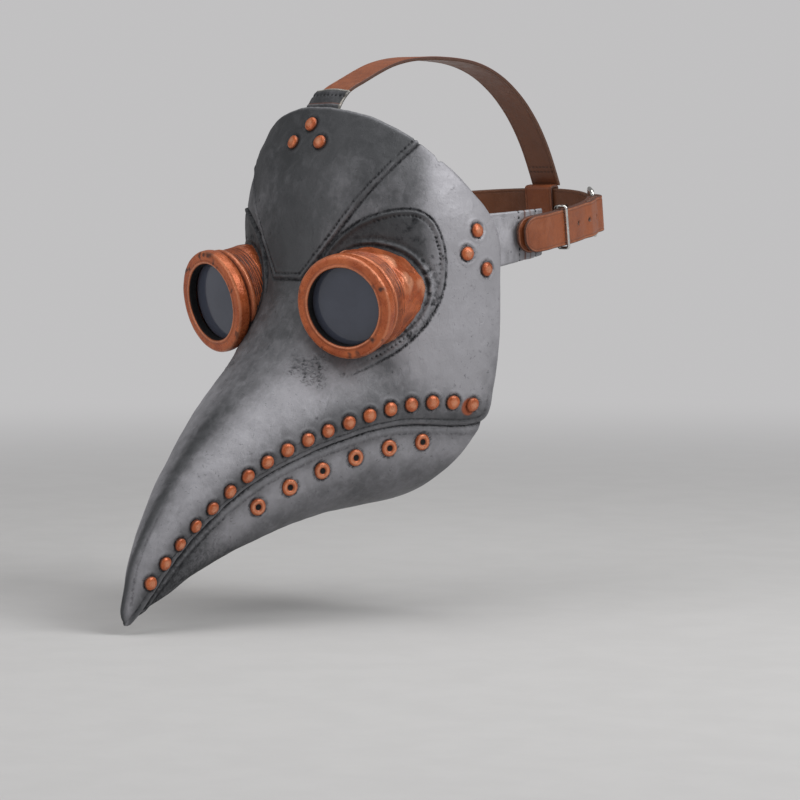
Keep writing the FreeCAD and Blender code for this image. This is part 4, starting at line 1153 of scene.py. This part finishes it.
for node in FACE_RIVETS:
    turned_heads(node, "_domed", face_skin_tree, dome_profile, dome_marks)
for node in EYELETS:
    turned_heads(node, "_rolled", lower_skin_tree, eyelet_profile, eyelet_marks)

# ------------------------------------------------------------------------ tabs

TAB_THICKNESS = 1.8
TEMPLE_TAB_END = np.array((79.9, 1.0, 32.0))
TEMPLE_TAB_END_HEIGHT = 24.0
TEMPLE_TAB_U = (0.005, 0.19)        # where the tab's two edges leave the shell's border
TEMPLE_TAB_ROWS = 61
TEMPLE_ROOT_COLUMNS = 30
TAB_EDGE_STEP = 0.45
TEMPLE_STITCHES = ((5.0, 3.1), (17.0, 3.3))     # distance from the rear edge, and pitch
TIP_STITCHES = (3.0, 2.8)
STITCH_WIDTH = 0.5
STRAP_CLEARANCE = 0.1               # kept under the tab's surface, for the strap that turns on it
FOREHEAD_TAB_TURN = 0.1
FOREHEAD_ROOT_ROWS = 40
# Backward and upward from the shell's top border.
FOREHEAD_TAB_CURL = [(0, 0), (2.6, 4.6), (5.8, 8.6), (9.4, 11.8)]


def between(inner, outer):
    """Unit vectors from the inner surface to the outer one."""
    return (outer - inner) / np.linalg.norm(outer - inner, axis=-1, keepdims=True)


def temple_tab_grid(depth, inset, side):
    """Rows across the tab, each from under the shell to the tab's rear edge."""
    rows = []
    for across in np.linspace(0, 1, TEMPLE_TAB_ROWS):
        u = TEMPLE_TAB_U[0] + (TEMPLE_TAB_U[1] - TEMPLE_TAB_U[0]) * across
        root = face(u, np.linspace(0.76, 1.0, TEMPLE_ROOT_COLUMNS), depth)
        border = root[-1]
        run = TEMPLE_TAB_END - (inset, 0, TEMPLE_TAB_END_HEIGHT * (across - 0.5)) - border
        share = np.linspace(0, 1, 91)[1:, None]
        swing = np.sin(share * math.pi / 2)
        beyond = np.concatenate([run[0] * swing, run[1] * share, run[2] * share], 1)
        rows.append(np.concatenate([root, border + beyond]))
    return np.array(rows) * (side, 1, 1)


def make_temple_tab(side, name):
    """Tab from under the shell to the strap, sewn across near its end."""
    outer = temple_tab_grid(tuck, 0.0, side)
    inner = temple_tab_grid(tuck + TAB_THICKNESS, TAB_THICKNESS, side)
    behind = outer[..., 1] - outer[:, TEMPLE_ROOT_COLUMNS - 1:TEMPLE_ROOT_COLUMNS, 1]
    end_gap = np.abs(outer[..., 1] - TEMPLE_TAB_END[1])
    row = np.arange(TEMPLE_TAB_ROWS)[:, None]
    edge_gap = np.minimum(row, row[::-1]) * TAB_EDGE_STEP
    uneven, fine = noises_at(outer, (9.0, 61.0 * side), (2.5, 63.0 * side))
    stripes = noise_at(outer * (0.3, 1.0, 0.12), 2.2, 67.0 * side)
    stitches = sum(stitch_marks(end_gap, outer[..., 2], at, pitch, STITCH_WIDTH)
                   for at, pitch in TEMPLE_STITCHES)
    relief = 0.28 * uneven + 0.08 * fine - 0.35 * stitches
    relief += ridges(end_gap, (0.45, 8.0, 1.6), (-0.4, 5.0, 0.7), (-0.3, 13.0, 0.6))
    relief = np.minimum(relief - 0.25, -STRAP_CLEARANCE)
    marks = marks_of(
        silver=0.8 + 0.25 * uneven + 0.2 * stripes,
        worn=0.7 * smooth(edge_gap, 0.9, 0.2) + 0.6 * bump_at(end_gap, 0, 0.8),
        grime=(stitches + 0.5 * bump_at(end_gap, 5.0, 0.5)
               + 0.7 * smooth(behind, 1.6, 0.2) * (behind > -1)),
        stain=(ridges(end_gap, (1.0, 12.9, 0.5), (0.8, 9.4, 0.35))
               + 0.7 * smooth(stripes, 0.3, 0.6) * bump_at(end_gap, 11, 5)))
    outer = outer + between(inner, outer) * (relief * smooth(behind, 0, 3))[..., None]
    tab = skin_object(name + "_temple_tab_painted", outer, inner, "mask", marks)
    dress(tab, PEWTER, name + "_temple_tab")


def forehead_tab_grid(depth):
    """Columns across the tab, each from under the shell up to the curled end."""
    curl = spline([0, 1, 2, 3], FOREHEAD_TAB_CURL)(np.linspace(0, 3, 61)[1:])
    beyond = np.concatenate([np.zeros((len(curl), 1)), curl], 1)
    columns = []
    for turn in np.linspace(-FOREHEAD_TAB_TURN, FOREHEAD_TAB_TURN, 71):
        root = face(np.linspace(0.09, 0.0, FOREHEAD_ROOT_ROWS), turn, depth)
        columns.append(np.concatenate([root, root[-1] + beyond]))
    return np.array(columns)


def make_forehead_tab():
    """Short curled tab behind the brow, with one raw edge."""
    outer = forehead_tab_grid(tuck)
    inner = forehead_tab_grid(tuck + TAB_THICKNESS)
    above = outer[..., 2] - outer[:, FOREHEAD_ROOT_ROWS - 1:FOREHEAD_ROOT_ROWS, 2]
    across = outer[..., 0] / np.abs(outer[..., 0]).max()
    tip_gap = above.max() - above
    uneven, fine = noises_at(outer, (8.0, 81.0), (2.4, 83.0))
    raw = smooth(across + 0.08 * uneven, 0.84, 0.92) * smooth(above, -1.0, 0.5)
    raw += 0.5 * smooth(tip_gap, 0.7, 0.2)
    relief = 0.3 * uneven + 0.1 * fine + raw * (0.6 + 0.7 * uneven)
    relief -= 0.4 * stitch_marks(tip_gap, outer[..., 0], *TIP_STITCHES, STITCH_WIDTH)
    relief += 0.5 * bump_at(above, 3.4, 0.8) + 0.35 * bump_at(tip_gap, 1.6, 0.9)
    outer = outer + between(inner, outer) * (relief * smooth(above, -0.5, 1.5))[..., None]
    outer[..., 0] += 0.9 * raw * uneven * np.sign(outer[..., 0])
    stitches = stitch_marks(tip_gap, outer[..., 0], *TIP_STITCHES, STITCH_WIDTH)
    marks = marks_of(
        silver=0.08 + 0.15 * uneven,
        worn=0.5 * bump_at(above, 3.6, 0.5) + 0.5 * smooth(np.abs(across), 0.93, 1.0),
        grime=0.8 * stitches + 0.5 * smooth(above, 2.0, 0.5) + 0.2,
        stain=0.75 * bump_at(above, 4.4, 0.35),
        raw=raw * (0.85 + 0.3 * fine))
    tab = skin_object("forehead_tab_painted", outer, inner, "mask", marks)
    dress(tab, PEWTER, "forehead_tab")


for side, name in SIDES:
    make_temple_tab(side, name)
make_forehead_tab()

# --------------------------------------------------------------------- harness

STRAP_WIDTH = 20.0
STRAP_THICKNESS = 2.0
STRAP_HALF_X = 80.4
STRAP_HALF_Y = 99.4
HARNESS_PIVOT = np.array((0.0, -10.0, 31.0))
HARNESS_SLOPE = math.radians(7)
PIVOT_BAR_ANGLE = 43.8
FAR_BAR_ANGLE = 55.2
BUCKLE_OFFSET = 3.3
FOLD_RADIUS = 3.2
FOLD_END_ANGLE = 29.0
STRAP_HOLE_ANGLES = (18.5, 27.0, 35.5, 66.0, 74.5)
PRONG_SLOT_ANGLE = 48.8
FRONT_END_Y = -20.0
TAIL_END_Y = -18.0
LOOP_THICKNESS = 1.6
LOOP_HALF_DEPTH = 3.0
LOOP_HALF_HEIGHT = 11.1
LOOP_CORNER = 1.6
# Backward and upward in the middle plane, from the forehead tab to the sewn loop.
TOP_STRAP_PATH = np.array([
    (-86.3, 96.0), (-84.4, 99.2), (-81.3, 103.1), (-77.6, 106.5), (-68, 111.2), (-42, 121.4),
    (0, 126), (40, 120.6), (70, 103.2), (92, 76), (102, 55.6),
])
PATH_STEP = 0.45
ROUND_END = 9.0
BAND_COLUMNS = 47
EDGE_ROUND = 0.8            # width of the rounded cut edge
END_ROUND = 0.7
END_THINNEST = math.sqrt(0.02)      # share of the thickness left at the very end
BORDER_LAP = 0.12           # each face crosses the middle by this much along the cut edge
CREASE_IN = 1.7             # the pressed line beside the edge
STITCH_PITCH = 2.6
HOLE = (1.25, 0.0)          # radius, and half length of the straight part
PRONG_SLOT = (1.5, 4.2)
BAR_SLOT = (1.6, 5.5)
FOLD_SEAMS = (11.5, 14.0)   # runs of the stitches past the buckle bar
LOOP_SEAMS = (9.0, 12.0)    # runs of the stitches from the crown strap's rear end
half_thick = STRAP_THICKNESS / 2


def from_harness(points):
    """Row-frame points from points in the tilted plane of the side straps."""
    x, y, z = points[..., 0], points[..., 1], points[..., 2]
    c, s = math.cos(HARNESS_SLOPE), math.sin(HARNESS_SLOPE)
    return np.stack([x, y * c - z * s, y * s + z * c], -1) + HARNESS_PIVOT


def plan_point(angle, offset):
    """Point of the strap's oval, seen from above, moved outward by offset."""
    turn = np.radians(angle)
    point = np.stack([STRAP_HALF_X * np.cos(turn), STRAP_HALF_Y * np.sin(turn)], -1)
    outward = np.stack([np.cos(turn) / STRAP_HALF_X, np.sin(turn) / STRAP_HALF_Y], -1)
    outward /= np.linalg.norm(outward, axis=-1, keepdims=True)
    return point + outward * np.asarray(offset)[..., None] - HARNESS_PIVOT[:2]


def angle_at(y):
    """Angle at which the strap's oval reaches y."""
    return math.degrees(math.asin(y / STRAP_HALF_Y))


def strap_path(path):
    """The path in steps of about PATH_STEP, and how far along it each point lies."""
    length = np.linalg.norm(np.diff(path, axis=0), axis=1).sum()
    return even_path(path, int(length / PATH_STEP) + 1)


def headings(path):
    """Unit vectors along a path."""
    heading = np.gradient(path, axis=0)
    return heading / np.linalg.norm(heading, axis=1, keepdims=True)


def quarter_round(gap, width):
    """0 at a cut edge, rising as a quarter circle to 1 at width inside it."""
    return np.sqrt(1 - (1 - np.clip(gap / width, 0, 1)) ** 2)


def ribbon(name, path, place, body, pits=(), round_start=True, round_end=True,
           thickness=STRAP_THICKNESS, seed=0.0, seams=()):
    """Leather band along a flat path.

    place(points) turns (path x, path y, height) into the row frame.  The path is
    the middle of the leather and its left-hand side is the outer face.  pits are
    (run, radius, half length) holes, seams are the runs of stitched lines.
    """
    path, run = strap_path(path)
    heading = headings(path)
    outward = np.stack([heading[:, 1], -heading[:, 0]], -1)
    half = np.full(len(run), STRAP_WIDTH / 2)
    thin = np.ones(len(run))
    for near, rounded in ((run, round_start), (run[-1] - run, round_end)):
        if rounded:
            arc = np.clip(ROUND_END - near, 0, ROUND_END)
            arc_height = np.sqrt(np.maximum(ROUND_END ** 2 - arc ** 2, 0.04))
            half = np.minimum(half, STRAP_WIDTH / 2 - ROUND_END + arc_height)
        thin = np.minimum(thin, np.maximum(quarter_round(near, END_ROUND), END_THINNEST))
    across = half[:, None] * np.sin(np.linspace(-1, 1, BAND_COLUMNS) * math.pi / 2)
    border = half[:, None] - np.abs(across)
    margin = np.minimum(border, np.minimum(run, run[-1] - run)[:, None])
    shaped = quarter_round(border, EDGE_ROUND) * thin[:, None]
    hole = np.zeros_like(across)
    hole_rim = np.zeros_like(across)
    for at, radius, length in pits:
        along = np.maximum(np.abs(run[:, None] - at) - length, 0)
        away = np.hypot(along, across)
        hole = np.maximum(hole, smooth(away, radius + 0.25, radius - 0.25))
        hole_rim += 0.12 * bump_at(away, radius + 0.7, 0.5)
    thread = np.zeros_like(across)
    beat = smooth(np.abs(((across / STITCH_PITCH) % 1) - 0.5) * 2, 0.25, 0.5) * (border > 1.6)
    for at in seams:
        thread = np.maximum(thread, bump_at(run[:, None], at, 0.42) * beat)
    surfaces, marks = [], []
    for face_side in (1, -1):
        middle = path[:, None] + outward[:, None] * (face_side * thickness / 2)
        base = np.concatenate([middle.repeat(BAND_COLUMNS, 1), across[..., None]], -1)
        uneven = noise_at(base, 12.0, seed + 5 * face_side)
        wrinkle = noise_at(base * (1, 1, 0.35), 2.4, seed + 9 * face_side)
        offset = thickness / 2 + 0.10 * uneven + 0.025 * wrinkle
        offset -= 0.16 * bump_at(margin, CREASE_IN, 0.35)
        offset = (offset * shaped + hole_rim) * (1 - 0.97 * hole) + 0.22 * thread
        offset -= BORDER_LAP * (hole == 0) * (margin <= 0)
        flat = path[:, None] + outward[:, None] * (face_side * offset)[..., None]
        surfaces.append(place(np.concatenate([flat, across[..., None]], -1)))
        # The holes are not cut: each is a pit to the middle of the leather, coloured near black as
        # painted shade.
        marks.append(marks_of(
            edge=smooth(margin, 0.75, 0.15),
            grime=hole + 0.75 * thread + 0.35 * bump_at(margin, CREASE_IN, 0.3),
            worn=0.8 * bump_at(margin, 0.95, 0.35) + 0.3 * uneven,
            inside=np.full_like(across, 0.0 if face_side > 0 else 0.6)))
    count = across.size
    faces = grid_faces(len(run), BAND_COLUMNS)
    faces += grid_faces(len(run), BAND_COLUMNS, count, flip=True)
    for row in (0, len(run) - 1):
        for first in range(row * BAND_COLUMNS, (row + 1) * BAND_COLUMNS - 1):
            quad = (first, first + 1, first + 1 + count, first + count)
            faces.append(quad if row == 0 else quad[::-1])
    points = np.concatenate([surface.reshape(-1, 3) for surface in surfaces])
    values = {key: np.concatenate([part[key].ravel() for part in marks]) for key in marks[0]}
    piece = make_object(name, points, faces, body, values)
    weld(piece, 0.03)
    return piece


def run_to(path, target):
    """How far along a path the point nearest to target lies."""
    path, run = strap_path(path)
    return run[np.argmin(np.linalg.norm(path - target, axis=1))]


def tail_lift(angle):
    """Height of the long strap off the inner face of the straps."""
    on_strap, on_fold, on_rivet = 2.15, 4.15, 3.6
    over_bar = BUCKLE_OFFSET + FOLD_RADIUS + 0.15
    low = on_rivet + (on_strap - on_rivet) * smooth(angle, -2.0, 4.0)
    fold = on_strap + (on_fold - on_strap) * smooth(angle, FOLD_END_ANGLE - 5, FOLD_END_ANGLE)
    climb = on_fold + (over_bar - on_fold) * smooth(angle, 38.0, PIVOT_BAR_ANGLE - 0.6)
    drop = over_bar * (1 - smooth(angle, PIVOT_BAR_ANGLE + 0.6, FAR_BAR_ANGLE - 1.6))
    result = np.where(angle < 6, low, fold)
    result = np.where(angle > 36, climb, result)
    return np.where(angle > PIVOT_BAR_ANGLE, drop, result)


def make_left_strap():
    """Short strap: out to the buckle bar, round it, and back on itself."""
    angle = np.linspace(angle_at(FRONT_END_Y), PIVOT_BAR_ANGLE - 0.3, 120)
    outgoing = plan_point(angle, np.full(len(angle), half_thick))
    bar = plan_point(np.array(PIVOT_BAR_ANGLE), BUCKLE_OFFSET)
    arrive = outgoing[-1] - bar
    across_bar = np.array((-arrive[1], arrive[0]))
    spin = np.linspace(0, math.pi, 26)[1:-1]
    fold = [bar + arrive * math.cos(turn) + across_bar * math.sin(turn) for turn in spin]
    angle = np.linspace(PIVOT_BAR_ANGLE - 1.2, FOLD_END_ANGLE, 50)
    lift = 3 * half_thick + 0.1 + 2.1 * smooth(angle, 39.5, PIVOT_BAR_ANGLE - 0.8)
    path = np.concatenate([outgoing, fold, plan_point(angle, lift)])
    bar_run = run_to(path, bar + across_bar)
    strap = ribbon("left_strap_leather", path, from_harness, "harness",
                   [(bar_run, *BAR_SLOT)], round_end=False, seed=2.0,
                   seams=[bar_run + beyond for beyond in FOLD_SEAMS])
    dress(strap, LEATHER, "left_strap")


def make_right_strap():
    """Long strap: from the right tab round the back, through the buckle, to its tail."""

    def on_path(angle):
        return plan_point(angle, tail_lift(angle) + half_thick)

    angles_over_buckle = np.linspace(angle_at(TAIL_END_Y), 62, 420)
    angles_behind = np.linspace(62, 180 - angle_at(FRONT_END_Y), 260)[1:]
    path = on_path(np.concatenate([angles_over_buckle, angles_behind]))
    pits = [(run_to(path, on_path(np.array(angle))), *HOLE) for angle in STRAP_HOLE_ANGLES]
    pits.append((run_to(path, on_path(np.array(PRONG_SLOT_ANGLE))), *PRONG_SLOT))
    strap = ribbon("right_strap_leather", path, from_harness, "harness", pits, seed=12.0)
    dress(strap, LEATHER, "right_strap")


def from_side(points):
    """Row-frame points from (y, z, x) of the middle plane."""
    return np.stack([points[..., 2], points[..., 0], points[..., 1]], -1)


def make_crown_strap():
    """Strap over the crown, from behind the forehead tab to the loop at the rear."""
    steps = np.linalg.norm(np.diff(TOP_STRAP_PATH, axis=0), axis=1)
    run = np.concatenate([[0.0], np.cumsum(steps)])
    path = spline(run, TOP_STRAP_PATH)(np.linspace(0, run[-1], 400))
    heading = headings(path)
    middle = path + np.stack([-heading[:, 1], heading[:, 0]], -1) * half_thick
    return ribbon("top_strap_leather", middle[::-1], from_side, None, round_start=False,
                  round_end=False, seed=22.0, seams=LOOP_SEAMS)


def make_rear_loop():
    """Sewn loop of the crown strap, round the side strap at the back."""
    middle = plan_point(np.array(90.0), half_thick)

    def from_loop(points):
        return from_harness(from_side(points) + (0, middle[1], 0))

    path = []
    for quarter, (side_y, side_z) in enumerate(((1, 1), (-1, 1), (-1, -1), (1, -1))):
        for turn in np.radians(90 * quarter + np.linspace(0, 90, 7)):
            path.append((side_y * (LOOP_HALF_DEPTH - LOOP_CORNER) + LOOP_CORNER * math.cos(turn),
                         side_z * (LOOP_HALF_HEIGHT - LOOP_CORNER) + LOOP_CORNER * math.sin(turn)))
    path.append(path[0])
    return ribbon("top_strap_loop", np.array(path), from_loop, None, round_start=False,
                  round_end=False, thickness=LOOP_THICKNESS, seed=32.0)


make_left_strap()
make_right_strap()
top_strap = make_crown_strap()
rear_loop = make_rear_loop()
dress(top_strap, LEATHER, "top_strap")
dress(rear_loop, LEATHER)
for piece in (top_strap, rear_loop):
    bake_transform(piece)

# ----------------------------------------------- CAD pieces that stay as they are

for node, material in (
        ("buckle_frame", NICKEL), ("buckle_prong", NICKEL), ("keeper_loop", NICKEL),
        ("left_strap_rivet", RIVET_COPPER[0]), ("right_strap_rivet", RIVET_COPPER[0]),
        ("left_lens_gasket", RUBBER), ("right_lens_gasket", RUBBER)):
    for slot in NODES[node].material_slots:
        slot.material = material

# ------------------------------------------------------- floor, light and camera

# The stage is in metres, apart from the aim and the lens of the camera.
BACKDROP = (0.535, 0.53, 0.535)
ROOM_LIGHT = 0.22
FLOOR_GAP = 0.004           # the floor lies this far under the mask
FLOOR_RINGS = (0.0, 0.2, 0.5, 1.0, 2.0, 4.0, 8.0, 16.0, 40.0)
AZIMUTH = math.radians(41.4)
ELEVATION = math.radians(4)
CAMERA_DISTANCE = 2.0
LENS_LENGTH = 161.1
SENSOR_WIDTH = 36.0
AIM_RIGHT = -16.76          # from the origin, across and up the camera's view
AIM_UP = -63.13
# Name, place from the aim to the right, towards the camera and upward, size, power.
LIGHTS = (
    ("key", (1.1, 0.7, 1.0), 1.1, 16),
    ("fill", (-1.2, 0.9, 0.5), 1.2, 5.5),
    ("top", (0.0, 0.2, 1.5), 1.2, 10),
)
scene = bpy.context.scene


def make_floor():
    """Pale floor that fades into the backdrop further out."""
    turns = np.linspace(0, 2 * math.pi, 64, endpoint=False)
    height = cad_box[0][2] - FLOOR_GAP
    points = [(r * math.cos(t), r * math.sin(t), height) for r in FLOOR_RINGS for t in turns]
    mesh = bpy.data.meshes.new("floor")
    mesh.from_pydata(points, [], grid_faces(len(FLOOR_RINGS), len(turns), wrap_columns=True))
    floor = bpy.data.objects.new("floor", mesh)
    scene.collection.objects.link(floor)
    paint = Paint("pale_floor")
    away = paint.node("ShaderNodeVectorMath", {0: paint.place}, operation="LENGTH").outputs["Value"]
    grain = paint.range(paint.noise(30, 4), 0.3, 0.7)
    paint.color = paint.mix(grain, (0.56, 0.555, 0.55), (0.58, 0.575, 0.57))
    mesh.materials.append(paint.finish(0.9))
    glow = paint.node("ShaderNodeEmission", {"Color": BACKDROP, "Strength": 1.0})
    blend = paint.node("ShaderNodeMixShader", {
        0: paint.range(away, 0.35, 1.6), 1: paint.shader.outputs[0], 2: glow.outputs[0],
    })
    paint.feed(paint.tree.nodes["Material Output"].inputs["Surface"], blend.outputs[0])


def make_world():
    """Backdrop seen at full strength by the camera, and a dimmer light from all round."""
    world = bpy.data.worlds.new("studio")
    scene.world = world
    world.use_nodes = True
    tree = world.node_tree
    sky = tree.nodes["Background"]
    sky.inputs["Color"].default_value = BACKDROP + (1.0,)
    rays = tree.nodes.new("ShaderNodeLightPath")
    dim = tree.nodes.new("ShaderNodeMapRange")
    dim.inputs["To Min"].default_value = ROOM_LIGHT / BACKDROP[0]
    tree.links.new(rays.outputs["Is Camera Ray"], dim.inputs["Value"])
    tree.links.new(dim.outputs[0], sky.inputs["Strength"])


def area_light(name, place, target, size, power):
    data = bpy.data.lights.new(name, "AREA")
    data.size = size
    data.energy = power
    lamp = bpy.data.objects.new(name, data)
    lamp.location = place
    lamp.rotation_mode = "QUATERNION"
    lamp.rotation_quaternion = (Vector(target) - Vector(place)).to_track_quat("-Z", "Y")
    scene.collection.objects.link(lamp)


make_floor()
make_world()
scene.view_settings.view_transform = "Standard"
right = np.array((math.cos(AZIMUTH), math.sin(AZIMUTH), 0))
toward = np.array((math.sin(AZIMUTH) * math.cos(ELEVATION),
                   -math.cos(AZIMUTH) * math.cos(ELEVATION), math.sin(ELEVATION)))
upward = np.cross(toward, right)
aim = (AIM_RIGHT * right + AIM_UP * upward) * MM
axes = np.stack([right, toward, upward])
for name, place, size, power in LIGHTS:
    area_light(name, tuple(aim + np.array(place) @ axes), tuple(aim), size, power)

camera_data = bpy.data.cameras.new("camera")
camera_data.sensor_width = SENSOR_WIDTH
camera_data.lens = LENS_LENGTH
camera_data.clip_end = 100.0
camera = bpy.data.objects.new("camera", camera_data)
scene.collection.objects.link(camera)
camera_axes = np.stack([right, upward, toward, aim + CAMERA_DISTANCE * toward], -1)
camera.matrix_world = Matrix([*camera_axes.tolist(), (0, 0, 0, 1)])
scene.camera = camera
